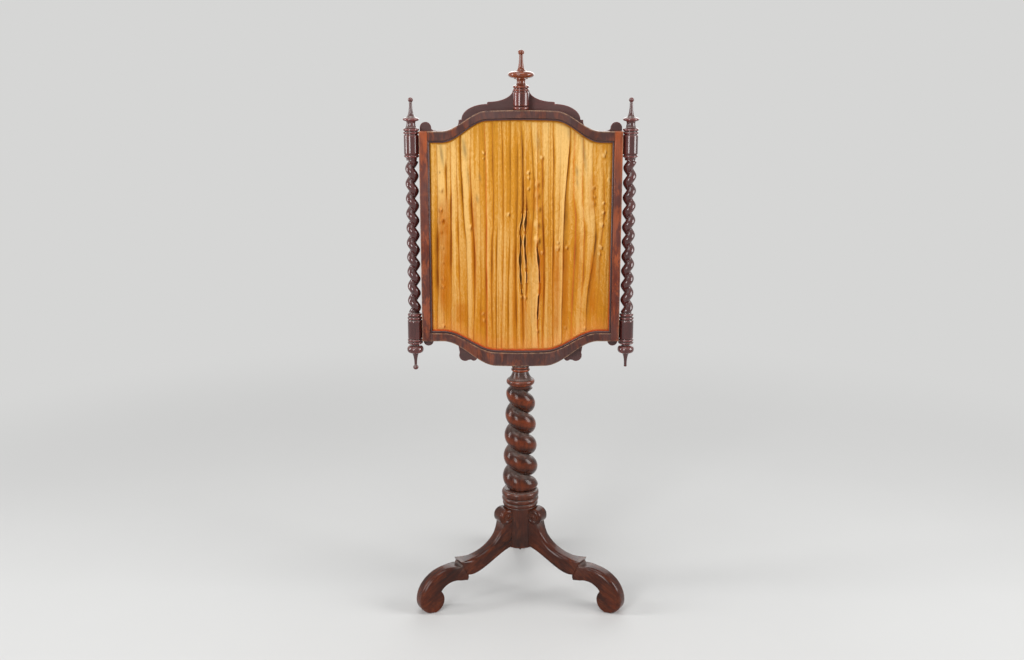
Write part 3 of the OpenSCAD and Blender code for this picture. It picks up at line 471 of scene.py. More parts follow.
def twisted(name, finish, body, node, sizes, centre=(0, 0), flip=False, bore=None, seed=0.0):
    """Twisted shaft with one round strand and a narrow groove, rounded off at its ends."""
    foot, top = sizes["z"]
    tall = top - foot
    steps, sides, ease = sizes["steps"], sizes["sides"], sizes["ease"]
    way = -1 if flip else 1
    points, wear, dust = [], [], []

    def near_end(d, neck, outer, profile):
        return outer if d >= ease else neck + (outer - neck) * profile(d / ease)

    for k in range(steps + 1):
        z = tall * k / steps
        crest = math.radians(sizes["start"]) - 2 * math.pi * z / sizes["pitch"]
        outer = sizes["radii"][0] + (sizes["radii"][1] - sizes["radii"][0]) * z / tall
        most = min(
            near_end(z, sizes["necks"][0], outer, lambda t: math.sqrt(1 - (1 - t) ** 2)),
            near_end(tall - z, sizes["necks"][1], outer, lambda t: math.sin(math.pi / 2 * t)),
        )
        for i in range(sides):
            # Closer steps beside the groove
            u = 2 * i / sides - 1
            turn = math.pi * (u + 0.16 * math.sin(math.pi * u))
            back = sizes["strand"](turn)
            r = min(max(sizes["core"], outer - sizes["groove"] * (1 - back)), most)
            x = centre[0] + way * r * math.cos(crest + turn)
            points.append((x, centre[1] + r * math.sin(crest + turn), foot + z))
            # Rubbed colour on the strand's crest, more towards the top: worn wood, and a painted highlight
            wear.append(sizes["rubbed"] * (0.3 + 0.7 * z / tall) * max(0.0, (back - 0.9) / 0.1))
            # Flanks of the strand hold dust, shown on upward faces as dust and as a painted pale sheen
            dust.append(sizes["dust_and_sheen"] * min(1.0, max(0.0, (0.85 - back) / 0.6)))
    faces = ring_faces(steps + 1, sides, ends=not bore)
    if bore:
        for z in (top, foot):
            for i in range(sides):
                a = 2 * math.pi * i / sides
                points.append((centre[0] + bore * math.cos(a), centre[1] + bore * math.sin(a), z))
        wear += [0.0] * 2 * sides
        dust += [0.0] * 2 * sides
        faces += bore_faces(points, steps + 1, sides)
    places = (np.array(points) + (seed * 41.0, AXIS_Y, seed * 127.0)) * MM
    marks = {"wear": wear, "dust": dust, "grain": places}
    return make_piece(name, points, faces, finish, body, [node], marks)


def plump_strand(turn):
    """Share of a strand's depth at an angle from its crest: a round back and a narrow groove."""
    return max(0.0, 1 - (turn / math.pi) ** 2) ** 0.6


def slim_strand(turn):
    """Share of a strand's depth at an angle from its crest: a slim back and a wide groove."""
    return ((1 + math.cos(turn)) / 2) ** 0.65


def bore_faces(points, count, sides):
    """Faces of a straight bore and of the flat ends round it, each end matched by its nearest angle."""
    faces = []
    upper, lower = count * sides, (count + 1) * sides
    for i in range(sides):
        j = (i + 1) % sides
        faces.append((upper + i, upper + j, lower + j, lower + i))
    for ring, hole in ((0, lower), ((count - 1) * sides, upper)):
        angle = math.atan2(points[ring][1], points[ring][0])
        spots = [math.atan2(points[hole + i][1], points[hole + i][0]) for i in range(sides)]
        shift = min(range(sides), key=lambda i: abs(math.remainder(spots[i] - angle, 2 * math.pi)))
        for i in range(sides):
            j = (i + 1) % sides
            faces.append((ring + i, ring + j, hole + (j + shift) % sides, hole + (i + shift) % sides))
    return faces


# Materials


class Nodes:
    """Short calls for the nodes of one material."""

    def __init__(self, name):
        self.material = bpy.data.materials.new(name + "_finish")
        self.material.use_nodes = True
        self.tree = self.material.node_tree
        self.shader = self.tree.nodes["Principled BSDF"]

    def put(self, socket, value):
        if isinstance(value, bpy.types.NodeSocket):
            self.tree.links.new(value, socket)
        elif hasattr(value, "__len__") and socket.type == "RGBA" and len(value) == 3:
            socket.default_value = (*value, 1.0)
        else:
            socket.default_value = value

    def add(self, kind, *values, settings=None, **inputs):
        """New node with its settings, its first inputs in order and the others by name."""
        node = self.tree.nodes.new(kind)
        for key, value in (settings or {}).items():
            setattr(node, key, value)
        for socket, value in zip(node.inputs, values):
            self.put(socket, value)
        for key, value in inputs.items():
            self.put(node.inputs[key.replace("_", " ")], value)
        return node

    def mark(self, name):
        node = self.add("ShaderNodeAttribute", settings={"attribute_name": name})
        return node.outputs["Vector" if name == "grain" else "Fac"]

    def math(self, operation, a, b=0.0, clamp=False):
        settings = {"operation": operation, "use_clamp": clamp}
        return self.add("ShaderNodeMath", a, b, settings=settings).outputs[0]

    def plus(self, a, b, clamp=False):
        return self.math("ADD", a, b, clamp)

    def times(self, a, b):
        return self.math("MULTIPLY", a, b)

    def mix(self, factor, a, b):
        node = self.add("ShaderNodeMix", factor, settings={"data_type": "RGBA", "clamp_factor": True})
        self.put(node.inputs[6], a)
        self.put(node.inputs[7], b)
        return node.outputs[2]

    def vector(self, operation, *values):
        return self.add("ShaderNodeVectorMath", *values, settings={"operation": operation})

    def noise(self, vector, scale=1.0, detail=3.0, rough=0.55, distortion=0.0, stretch=None):
        if stretch:
            vector = self.vector("MULTIPLY", vector, stretch).outputs[0]
        return self.add(
            "ShaderNodeTexNoise",
            Vector=vector, Scale=scale, Detail=detail, Roughness=rough, Distortion=distortion,
        ).outputs["Fac"]

    def ranged(self, value, a, b, c=0.0, d=1.0, smooth=False):
        settings = {"interpolation_type": "SMOOTHSTEP" if smooth else "LINEAR"}
        return self.add("ShaderNodeMapRange", value, a, b, c, d, settings=settings).outputs[0]

    def ramp(self, value, stops):
        node = self.add("ShaderNodeValToRGB", value)
        band = node.color_ramp
        while len(band.elements) < len(stops):
            band.elements.new(0.5)
        for element, (place, shade) in zip(band.elements, stops):
            element.position = place
            element.color = (*shade, 1.0)
        return node.outputs[0]

    def bump(self, value, distance, strength):
        return self.add("ShaderNodeBump", Height=value, Distance=distance, Strength=strength).outputs[0]

    def finish(self, **inputs):
        """The material, with the shader's inputs by name."""
        for key, value in inputs.items():
            self.put(self.shader.inputs[key.replace("_", " ")], value)
        return self.material


def wood(name, dark, light, polish=0.45, rough=0.27, band=0.0, dust_and_sheen=0.6, worn=0.6, fine=1.0, flush=0.0,
         haze=0.0, rubbed=None, barrel=None, film=False, coat=(0.06, 1.45), shine=0.15, uneven=0.0):
    """Polished wood with figure, streaks and pores along the grain, rubbed edges and crests that on the
    turnings also carry a painted highlight, and dust in the hollows with a painted pale sheen on upward
    faces.

    band is the length of the cross-banded veneer's pieces, in metres. flush and haze are the shares of warm
    and dull patches. barrel gives the heights between which a dark foot turns to the wood's own colour. film
    lets a piece's own mark dull it. coat is the roughness and the index of the polish. uneven is the height
    of its dents."""
    made = bpy.data.materials.get(name + "_finish")
    if made:
        return made
    look = bpy.context.scene.pole_screen_wood
    n = Nodes(name)
    whole = grain = n.mark("grain")
    if band:
        place = n.math("DIVIDE", n.add("ShaderNodeSeparateXYZ", grain).outputs["X"], band)
        number = n.math("FLOOR", place)
        offset = n.add("ShaderNodeTexWhiteNoise", settings={"noise_dimensions": "1D"}, W=number)
        grain = n.vector("MULTIPLY_ADD", offset.outputs["Color"], (0.9, 0.9, 0.9), grain).outputs[0]
        edge = n.math("ABSOLUTE", n.math("SUBTRACT", n.math("FRACT", place), 0.5))
        joint = n.ranged(edge, 0.5 - 0.0005 / band, 0.5)
    figure = n.noise(grain, 1.0, 4.0, 0.55, 0.9, stretch=(34, 34, 5))
    streak = n.noise(grain, 1.0, 3.0, 0.6, stretch=(330 * fine, 330 * fine, 11))
    pore = n.noise(grain, 1.0, 1.0, 0.5, stretch=(1500 * fine, 1500 * fine, 70))
    patina = n.noise(whole, 17.0, 3.0, 0.6)
    middle = tuple((a + b) / 2 for a, b in zip(dark, light))
    shade = n.ramp(figure, [(0.28, dark), (0.5, middle), (0.72, light)])
    if barrel:
        height = n.add("ShaderNodeSeparateXYZ", whole).outputs["Z"]
        foot = n.ramp(figure, [(0.28, look.side_dark), (0.72, tinted(look.side_light, 1.5))])
        shade = n.mix(n.ranged(height, *barrel), foot, shade)
    if flush:
        warm = n.plus(n.noise(whole, 1.0, 5.0, 0.7, 0.4, stretch=(64, 64, 22)), n.mark("warm"))
        shade = n.mix(n.ranged(warm, 0.48, 0.6, 0.0, flush), shade, look.flush)
    for amount, factor in (
        (n.ranged(streak, 0.3, 0.75, 0.5, 0.0), 0.45),
        (n.ranged(pore, 0.36, 0.26, 0.0, 0.55), 0.3),
        (n.ranged(patina, 0.35, 0.7, 0.35, 0.0), 0.55),
    ):
        shade = n.mix(amount, shade, tinted(dark, factor))
    if haze or film:
        dull = n.noise(whole, 1.0, 5.0, 0.65, stretch=(19, 19, 9))
        if film:
            amount = n.times(n.mark("film"), n.ranged(dull, 0.3, 0.7, 0.4, 0.95))
        else:
            amount = n.ranged(dull, 0.34, 0.66, 0.0, haze)
        shade = n.mix(amount, shade, look.haze)
    if band:
        shade = n.mix(n.times(offset.outputs["Value"], 0.35), shade, tinted(dark, 0.7))
        shade = n.mix(n.times(joint, 0.6), shade, tinted(dark, 0.25))
    # Rubbed colour on edges and crests: worn wood, and on the turnings also a painted highlight
    rub = n.noise(whole, 95.0, 4.0, 0.65)
    rub = n.ranged(rub, 0.2, 0.8, 0.0, worn) if rubbed else n.ranged(rub, 0.36, 0.6, 0.0, worn)
    wear_and_glint = n.times(n.mark("wear"), rub)
    shade = n.mix(wear_and_glint, shade, rubbed or look.worn)
    # Dust in the hollows, and a painted pale sheen on every upward face that carries the mark
    facing = n.add("ShaderNodeSeparateXYZ", n.add("ShaderNodeNewGeometry").outputs["Normal"])
    upward = n.ranged(facing.outputs["Z"], -0.05, 0.75, 0.08, 1.0)
    speck = n.ranged(n.noise(whole, 150.0, 4.0, 0.7), 0.3, 0.6, 0.3, 1.0)
    dust_and_top_sheen = n.times(n.times(n.mark("dust"), upward), n.times(speck, dust_and_sheen))
    shade = n.mix(dust_and_top_sheen, shade, look.dust)
    gloss = n.plus(n.ranged(patina, 0.3, 0.7, rough - 0.05, rough + 0.07), n.times(dust_and_top_sheen, 0.5))
    gloss = n.plus(gloss, n.times(wear_and_glint, 0.2), clamp=True)
    rise = n.plus(n.times(streak, 0.7), n.times(pore, 0.3))
    if uneven:
        rise = n.plus(rise, n.times(n.noise(whole, 85.0, 2.0, 0.5), uneven))
    return n.finish(
        Base_Color=shade, Roughness=gloss, Normal=n.bump(rise, 0.00025, 0.35), Coat_Weight=polish,
        Coat_Roughness=coat[0], Coat_IOR=coat[1], Specular_IOR_Level=shine,
    )


def woods():
    """Finish of each wood by its name; the boards have a duller one than the rosewood's own."""
    look = bpy.context.scene.pole_screen_wood
    rosy = {"dust_and_sheen": 0.6, "worn": 0.5, "rubbed": look.ring, "film": True, "shine": 0.05}
    # Colours, share of the polish, roughness, and what differs from plain wood
    table = {
        "mahogany": ("base", 1.2, 0.22, {
            "dust_and_sheen": 0.6, "worn": 0.8, "rubbed": look.rubbed, "flush": 0.1, "coat": (0.2, 1.45),
            "shine": 0.06, "uneven": 9.0,
        }),
        "stile_wood": ("stile", 0.4, 0.33, {"worn": 0.8, "flush": 0.75, "haze": 0.45}),
        "cross_veneer": ("veneer", 0.4, 0.36, {"band": 0.052, "worn": 0.9, "flush": 0.35, "haze": 0.6}),
        "slip_wood": ("slip", 1.0, 0.25, {"worn": 0.0}),
        "rosewood": ("side", 2.2, 0.2, {"coat": (0.13, 1.6), **rosy}),
        "board_wood": ("side", 0.9, 0.4, {"coat": (0.42, 1.5), **rosy}),
        "finial_wood": ("finial", 2.2, 0.22, {
            "dust_and_sheen": 0.2, "worn": 0.2, "rubbed": look.flush, "barrel": (1.79, 1.815), "coat": (0.1, 1.55),
            "shine": 0.05,
        }),
        "backing_wood": ("back", 0.0, 0.62, {"worn": 0.2, "fine": 0.8}),
        "dowel_wood": ("back", 0.0, 0.6, {"worn": 0.2}),
    }
    finishes = {}
    for name, (key, polish, rough, rest) in table.items():
        dark, light = getattr(look, key + "_dark"), getattr(look, key + "_light")
        finishes[name] = wood(name, dark, light, look.polish * polish, rough, **rest)
    return finishes


def metal(name, tone, rough, rust):
    """Dark metal with scratches and a little rust."""
    made = bpy.data.materials.get(name + "_finish")
    if made:
        return made
    n = Nodes(name)
    place = n.add("ShaderNodeTexCoord").outputs["Object"]
    spots = n.ranged(n.noise(place, 260.0, 4.0, 0.65), 0.5, 0.7, 0.0, rust)
    scratch = n.noise(place, 1.0, 2.0, 0.6, stretch=(2400, 2400, 160))
    shade = n.mix(spots, n.mix(scratch, tinted(tone, 0.7), tone), srgb(84, 46, 26))
    gloss = n.plus(n.ranged(scratch, 0.2, 0.8, rough - 0.08, rough + 0.1), n.times(spots, 0.3))
    return n.finish(
        Base_Color=shade, Roughness=gloss, Normal=n.bump(scratch, 0.00008, 0.4),
        Metallic=n.ranged(spots, 0.0, 1.0, 1.0, 0.2),
    )


def silk_cloth():
    """Faded gold silk with painted shade down in the folds, crests that are paler partly from fading and
    partly as a painted highlight, and thin threads that run down the cloth.
    """
    look = bpy.context.scene.pole_screen_silk
    n = Nodes("silk")
    grain = n.mark("grain")
    thread = n.noise(grain, 1.0, 3.0, 0.65, stretch=(900, 900, 16))
    slub = n.noise(grain, 1.0, 4.0, 0.6, stretch=(150, 150, 4))
    cloud = n.noise(grain, 1.0, 5.0, 0.65, stretch=(26, 26, 13))
    crumple = n.noise(grain, 1.0, 4.0, 0.65, 0.6, stretch=(330, 330, 120))
    # Painted light and shade: the cloth's height turns to deep colour down in the folds and to pale colour on
    # their crests
    level = n.plus(n.mark("height"), n.ranged(slub, 0.3, 0.7, -0.08, 0.08))
    level = n.plus(level, n.ranged(crumple, 0.3, 0.7, -0.1, 0.1))
    between = tuple(a * 0.5 + b * 0.5 for a, b in zip(look.deep, look.gold))
    shade = n.ramp(level, [(0.06, look.deep), (0.42, between), (0.72, look.gold), (1.0, look.light)])
    for amount, tone in (
        # Browner towards the foot
        (n.ranged(n.mark("fade"), 0.1, 0.8, 0.32, 0.0), look.brown),
        (n.ranged(thread, 0.35, 0.75, 0.0, 0.16), tinted(look.gold, 0.72)),
        # Painted shade: a dark line down each crease and in the hollow beside each pucker
        (n.times(n.mark("line"), 0.75), look.deep),
        (n.times(n.mark("stain"), n.ranged(cloud, 0.3, 0.6, 0.35, 0.95)), look.brown),
        (n.ranged(n.noise(grain, 260.0, 4.0, 0.75), 0.62, 0.7, 0.0, 0.6), look.deep),
        (n.mark("blush"), look.blush),
        (n.mark("crease"), look.red),
        (n.mark("edge"), look.red),
        (n.mark("smudge"), srgb(112, 92, 66)),
        # Painted shade where the cloth parts at the splits
        (n.mark("split"), look.gap),
    ):
        shade = n.mix(amount, shade, tone)
    weave = n.plus(n.times(thread, 0.3), n.times(crumple, 1.6))
    return n.finish(
        Base_Color=shade, Roughness=n.ranged(cloud, 0.3, 0.7, 0.3, 0.46), Normal=n.bump(weave, 0.0006, 0.7),
        Sheen_Weight=0.05, Sheen_Roughness=0.4, Specular_IOR_Level=0.45, Specular_Tint=(1.0, 0.82, 0.25),
    )


def seen_ray(tree):
    """Socket that is 1 for what the camera, a reflection or a refraction sees, and 0 for even light."""
    ray = tree.nodes.new("ShaderNodeLightPath")
    seen = ray.outputs["Is Camera Ray"]
    for name in ("Is Glossy Ray", "Is Transmission Ray"):
        most = tree.nodes.new("ShaderNodeMath")
        most.operation = "MAXIMUM"
        tree.links.new(seen, most.inputs[0])
        tree.links.new(ray.outputs[name], most.inputs[1])
        seen = most.outputs[0]
    return seen


# Operators


class POLESCREEN_OT_stage(bpy.types.Operator):
    """Set the floor, the light and the camera at the photograph's angle"""
    bl_idname = "pole_screen.stage"
    bl_label = "Stage"

    def execute(self, context):
        scene = context.scene
        look = scene.pole_screen_stage
        scene.view_settings.view_transform = "Standard"
        self.set_camera(scene, look)
        self.lay_floor(scene, look)
        self.set_world(scene, look)
        middle = (0, AXIS_Y * MM, 1.1)
        # Name, place, size, share of power and target of each lamp
        for name, place, size, part, target in (
            ("Lamp key", (-1.13, -2.4, 1.42), (0.8, 1.6), 1.0, middle),
            ("Lamp right", (2.3, -0.75, 1.42), (1.2, 1.6), 1.3, middle),
            ("Lamp left", (-2.3, -0.3, 1.42), (0.5, 1.6), 0.8, middle),
            ("Lamp top", (-0.3, -0.5, 2.9), (1.4, 1.4), 0.5, (0, 0, 0.6)),
            ("Lamp back", (0.6, 2.6, 2.0), (3.0, 2.2), 0.9, (0, 0, 0.8)),
        ):
            self.hang_lamp(scene, name, place, size, look.lamp_power * part, target)
        return {"FINISHED"}

    def set_camera(self, scene, look):
        """Camera at the photograph's place and angle."""
        data = bpy.data.cameras.new("Camera")
        camera = bpy.data.objects.new("Camera", data)
        scene.collection.objects.link(camera)
        camera.location = (look.aside, AXIS_Y * MM - look.distance, look.eye_height)
        camera.rotation_euler = (math.pi / 2 - look.look_down, 0, 0)
        data.lens = look.lens
        data.sensor_width = SENSOR_WIDTH
        scene.camera = camera

    def lay_floor(self, scene, look):
        """Wide round floor that fades into the backdrop away from the object."""
        mesh = bpy.data.meshes.new("Floor")
        work = bmesh.new()
        bmesh.ops.create_circle(work, cap_ends=True, segments=96, radius=FLOOR_R)
        work.to_mesh(mesh)
        work.free()
        floor = bpy.data.objects.new("Floor", mesh)
        scene.collection.objects.link(floor)
        n = Nodes("floor")
        place = n.add("ShaderNodeTexCoord").outputs["Object"]
        cloud = n.ranged(n.noise(place, 2.2, 4.0, 0.6), 0.3, 0.7, 0.0, 0.12)
        shade = n.mix(cloud, look.floor, tinted(look.floor, 0.85))
        n.finish(Base_Color=shade, Roughness=0.7, Specular_IOR_Level=0.2)
        far = n.vector("LENGTH", place).outputs["Value"]
        faded = n.times(n.ranged(far, 0.7, 2.4, smooth=True), seen_ray(n.tree))
        glow = n.add("ShaderNodeEmission", Color=look.backdrop)
        blend = n.add("ShaderNodeMixShader", faded, n.shader.outputs[0], glow.outputs[0])
        n.put(n.tree.nodes["Material Output"].inputs["Surface"], blend.outputs[0])
        mesh.materials.append(n.material)

    def set_world(self, scene, look):
        """Even white light, with the backdrop's colour for what is seen."""
        world = bpy.data.worlds.new("Studio")
        scene.world = world
        world.use_nodes = True
        tree = world.node_tree
        even = tree.nodes["Background"]
        even.inputs["Color"].default_value = (1, 1, 1, 1)
        even.inputs["Strength"].default_value = look.world_light
        backdrop = tree.nodes.new("ShaderNodeBackground")
        backdrop.inputs["Color"].default_value = (*look.backdrop, 1)
        mix = tree.nodes.new("ShaderNodeMixShader")
        for socket, value in zip(mix.inputs, (seen_ray(tree), even.outputs[0], backdrop.outputs[0])):
            tree.links.new(value, socket)
        tree.links.new(mix.outputs[0], tree.nodes["World Output"].inputs["Surface"])

    def hang_lamp(self, scene, name, place, size, power, target):
        """Area lamp turned to its target."""
        data = bpy.data.lights.new(name, "AREA")
        data.shape = "RECTANGLE"
        data.size, data.size_y = size
        data.energy = power
        lamp = bpy.data.objects.new(name, data)
        lamp.visible_camera = False
        scene.collection.objects.link(lamp)
        lamp.location = place
        lamp.rotation_euler = (Vector(target) - Vector(place)).to_track_quat("-Z", "Y").to_euler()


# Creases of the silk from the left: the red that shows in each, and its path of height, place and strength
CREASES = (
    (0.2, ((1010, -176, 0.3), (905, -176, 0.35), (840, -177, 0.6), (800, -177, 0.95), (700, -178, 0.95),
           (660, -178, 0.5), (600, -180, 0.35))),
    (0.1, ((1015, -157, 0.2), (982, -157, 0.8), (930, -157, 0.8), (900, -158, 0.3), (860, -158, 0.1),
           (700, -165, 0.15), (640, -166, 0.4), (600, -166, 0.3))),
    (0.3, ((1010, -147, 0.2), (950, -147, 0.35), (905, -147, 0.85), (830, -148, 1.0), (740, -149, 1.0),
           (710, -149, 0.6), (680, -149, 0.3), (600, -150, 0.3))),
    (0.2, ((1020, -136, 0.2), (900, -134, 0.45), (820, -133, 0.65), (730, -132, 0.55), (650, -131, 0.35),
           (600, -131, 0.35))),
    (0.0, ((1030, -127, 0.65), (990, -126, 0.75), (930, -124, 0.85), (880, -122, 0.85), (830, -119, 0.6),
           (800, -116, 0.35), (700, -114, 0.25), (600, -114, 0.35))),
    (0.25, ((1030, -106, 0.15), (980, -107, 0.35), (930, -106, 0.65), (880, -104, 0.95),
            (830, -101, 0.95), (760, -98, 1.0), (700, -98, 0.85), (660, -99, 0.5), (600, -102, 0.5))),
    (0.1, ((1040, -88, 0.1), (960, -87, 0.2), (880, -86, 0.15), (760, -85, 0.3), (640, -86, 0.45),
           (580, -87, 0.3))),
    (1.0, ((1045, -76, 0.15), (960, -73, 0.35), (880, -73, 0.55), (800, -73, 0.75), (700, -73, 0.85),
           (640, -73, 0.7), (580, -73, 0.6))),
    (0.25, ((1045, -60, 0.45), (1000, -59, 0.55), (900, -58, 0.6), (830, -58, 0.5), (800, -61, 0.85),
            (700, -62, 0.75), (620, -62, 0.55), (580, -62, 0.4))),
    (0.0, ((1040, -47, 0.1), (850, -48, 0.15), (810, -50, 0.55), (760, -51, 0.65), (690, -52, 0.45),
           (650, -52, 0.65), (600, -52, 0.5))),
    (0.2, ((1050, -40, 0.5), (1000, -38, 0.55), (900, -37, 0.55), (820, -37, 0.4), (700, -38, 0.55),
           (640, -40, 0.35), (575, -41, 0.5))),
    (0.0, ((1055, -22, 0.5), (960, -22, 0.55), (900, -22, 0.5), (830, -23, 0.3), (750, -25, 0.55),
           (680, -27, 0.65), (620, -27, 0.65), (570, -27, 0.4))),
    (0.1, ((1055, -8, 0.2), (1000, -7, 0.45), (900, -7, 0.65), (850, -8, 0.55), (820, -10, 0.8),
           (700, -10, 0.9), (630, -9, 0.85), (575, -8, 0.5))),
    ("upper split left", 0.1),
    ("upper split right", 0.35),
    (0.0, ((1050, 21, 0.4), (1000, 23, 0.55), (950, 26, 0.65), (930, 28, 0.65), (890, 28, 0.55),
           (850, 27, 0.65), (800, 22, 0.6), (760, 22, 0.35), (700, 23, 0.2), (600, 24, 0.3))),
    ("lower split", 0.5),
    (0.4, ((1040, 45, 0.15), (985, 45, 0.25), (970, 45, 0.85), (930, 46, 0.75), (890, 46, 0.45),
           (870, 46, 0.9), (830, 47, 1.0), (780, 50, 0.95), (700, 50, 0.95), (640, 49, 0.85),
           (590, 48, 0.5))),
    (0.0, ((1045, 57, 0.15), (900, 58, 0.25), (760, 59, 0.15), (640, 59, 0.3), (590, 59, 0.25))),
    (0.15, ((1050, 67, 0.55), (1000, 68, 0.65), (960, 69, 0.85), (900, 68, 0.65), (820, 69, 0.75),
            (740, 69, 0.85), (690, 68, 0.55), (620, 69, 0.55), (580, 70, 0.5))),
    (0.15, ((1050, 84, 0.15), (970, 83, 0.3), (880, 82, 0.4), (800, 80, 0.3), (700, 80, 0.15),
            (600, 80, 0.2))),
    (0.1, ((1040, 103, 0.55), (1010, 102, 0.95), (950, 98, 0.95), (900, 94, 1.0), (850, 92, 0.95),
           (800, 91, 0.85), (740, 91, 0.95), (690, 90, 0.75), (620, 89, 0.65), (590, 89, 0.5))),
    (0.8, ((1035, 113, 0.4), (980, 111, 0.45), (900, 112, 0.45), (855, 117, 0.75), (820, 117, 0.85),
           (780, 116, 0.85), (700, 113, 0.8), (640, 111, 0.7), (600, 110, 0.5))),
    (0.5, ((1025, 131, 0.4), (960, 130, 0.55), (900, 131, 0.55), (860, 133, 0.35), (820, 136, 0.65),
           (760, 135, 0.75), (700, 134, 0.65), (660, 131, 0.3), (600, 130, 0.2))),
    (0.05, ((1020, 150, 0.2), (940, 152, 0.5), (900, 154, 0.6), (870, 157, 0.45), (830, 160, 0.65),
            (805, 160, 0.95), (740, 154, 1.0), (690, 148, 1.0), (650, 144, 0.95), (620, 142, 0.75),
            (600, 142, 0.45))),
    (0.3, ((1000, 172, 0.2), (950, 176, 0.45), (900, 177, 0.65), (870, 177, 0.85), (850, 176, 0.45),
           (800, 172, 0.7), (780, 171, 0.45), (700, 168, 0.25), (600, 164, 0.2))),
    (0.1, ((1000, 188, 0.15), (900, 188, 0.3), (800, 187, 0.35), (700, 185, 0.3), (600, 183, 0.2))),
)

# Paths of the splits, from the top: height, place across, half width, strength of the crease that it runs in
SPLITS = {
    "upper split left": (
        (1045, 0.0, 0, 0.5), (994, 3.5, 0, 0.8), (940, 4.5, 0, 0.9), (900, 5.0, 0, 1.0), (872, 4.5, 0, 1.0),
        (846, 3.2, 0.5, 1.0), (834, 0.2, 0.9, 1.0), (818, -1.6, 0.7, 1.0), (800, 0.6, 1.1, 1.0),
        (784, -0.4, 0.9, 1.0), (760, -1.4, 1.2, 1.0), (735, -0.8, 1.5, 1.0), (712, 0.9, 1.3, 1.0),
        (697, 2.0, 0.6, 1.0), (686, 3.0, 0, 0.9), (672, 4.6, 0, 1.0), (640, 4.6, 0, 1.0),
        (600, 5.4, 0, 0.8), (570, 5.6, 0, 0.5),
    ),
    "upper split right": (
        (1045, 12.0, 0, 0.1), (960, 11.0, 0, 0.3), (900, 10.5, 0, 0.5), (872, 11.2, 0, 1.0),
        (856, 11.4, 0.6, 1.0), (838, 9.8, 1.4, 1.0), (816, 9.4, 1.2, 1.0), (792, 8.8, 1.6, 1.0),
        (774, 9.8, 0.9, 1.0), (757, 11.4, 0.5, 1.0), (742, 11.2, 0.3, 1.0), (726, 12.8, 0.5, 1.0),
        (704, 12.2, 0.5, 1.0), (690, 11.6, 0, 1.0), (676, 9.8, 0, 0.6), (640, 13.0, 0, 0.2),
        (570, 14.0, 0, 0.2),
    ),
    "lower split": (
        (1045, 34.0, 0, 0.1), (900, 35.0, 0, 0.2), (820, 36.5, 0, 0.4), (790, 35.0, 0, 0.9),
        (784, 35.2, 1.6, 1.0), (776, 36.6, 0.9, 1.0), (762, 38.0, 1.1, 1.0), (744, 39.0, 0.8, 1.0),
        (726, 40.2, 0.7, 1.0), (703, 41.0, 0.4, 1.0), (690, 40.2, 0, 0.9), (678, 38.6, 0.5, 1.0),
        (668, 38.4, 1.0, 1.0), (646, 37.0, 0.7, 1.0), (622, 36.6, 0.5, 1.0), (612, 36.4, 0, 0.8),
        (570, 38.0, 0, 0.4),
    ),
}

# Small puckers: place across, height, radius, rise
PUCKERS = (
    (-171.0, 870, 4.2, 2.0), (-169.5, 849, 6.0, 2.8), (-173.0, 951, 3.0, 0.8), (-170.0, 912, 4.5, 0.9),
    (-171.0, 824, 4.0, 0.7), (-168.0, 790, 4.0, 0.6), (-168.0, 757, 4.0, 0.6), (-167.0, 722, 4.0, 0.9),
    (-167.0, 704, 4.0, 1.0), (-109.0, 833, 5.5, 1.1), (-78.5, 990, 3.6, 1.1), (-79.0, 979, 3.0, 0.7),
    (-27.0, 861, 4.0, 1.0), (15.0, 949, 4.0, 1.2), (15.5, 938, 3.6, 0.9), (15.0, 915, 3.6, 0.8),
    (43.0, 980, 4.0, 0.9), (33.0, 925, 6.0, 0.6), (34.0, 902, 6.0, 0.6), (36.0, 874, 6.0, 0.7),
    (34.5, 806, 6.5, 1.7), (33.0, 840, 7.0, 0.9), (45.0, 778, 4.0, 1.4), (77.5, 788, 5.0, 1.5),
    (79.0, 800, 3.2, 0.9), (97.0, 789, 4.2, 1.3), (153.0, 917, 4.0, 0.9), (155.0, 898, 4.0, 0.8),
    (154.0, 884, 4.0, 0.9), (175.0, 885, 3.4, 1.0), (175.5, 865, 3.4, 1.1), (172.0, 838, 4.4, 1.1),
    (171.0, 790, 4.4, 1.3), (168.0, 776, 4.0, 0.7), (174.0, 984, 4.0, 0.9), (177.0, 992, 3.4, 0.6),
    (186.0, 935, 4.4, 1.1), (-82.0, 645, 4.0, 0.9), (-80.0, 630, 4.0, 0.7), (2.0, 682, 3.6, 1.4),
    (9.5, 680, 3.8, 1.4), (36.0, 606, 3.6, 1.1), (-168.0, 617, 4.0, 1.2), (96.0, 614, 4.0, 0.6),
    (138.0, 612, 4.0, 0.7),
)

# Brown stains: place across, height, half width, half length, strength
STAINS = (
    (-163.0, 775, 12, 125, 1.0), (-128.0, 646, 14, 22, 0.6), (-82.0, 633, 7, 20, 0.7),
    (-99.0, 800, 6, 95, 0.6), (-14.0, 690, 5, 110, 0.45), (5.0, 635, 7, 45, 0.5), (20.0, 812, 6, 34, 0.7),
    (31.0, 900, 9, 34, 0.45), (44.0, 730, 6, 55, 0.9), (76.0, 690, 8, 100, 0.85), (96.0, 695, 7, 96, 0.85),
    (124.0, 760, 6, 60, 0.5), (155.0, 705, 7, 70, 0.8), (152.0, 905, 8, 40, 0.5),
)

# Grey smudges near the top: place across, height, half width, half length, strength
SMUDGES = (
    (-166.0, 985, 3.4, 24, 0.6), (-118.0, 997, 4.4, 20, 0.6), (-121.0, 1012, 2.0, 10, 0.5),
    (-111.0, 940, 3.0, 22, 0.35), (-86.0, 938, 2.4, 8, 0.5), (-92.0, 893, 3.0, 9, 0.45),
    (133.0, 985, 4.0, 34, 0.5), (118.0, 950, 3.4, 12, 0.45), (119.0, 928, 2.6, 9, 0.4),
    (36.0, 1010, 5.0, 24, 0.35), (100.0, 1030, 4.0, 14, 0.3), (163.0, 770, 4.0, 60, 0.25),
)


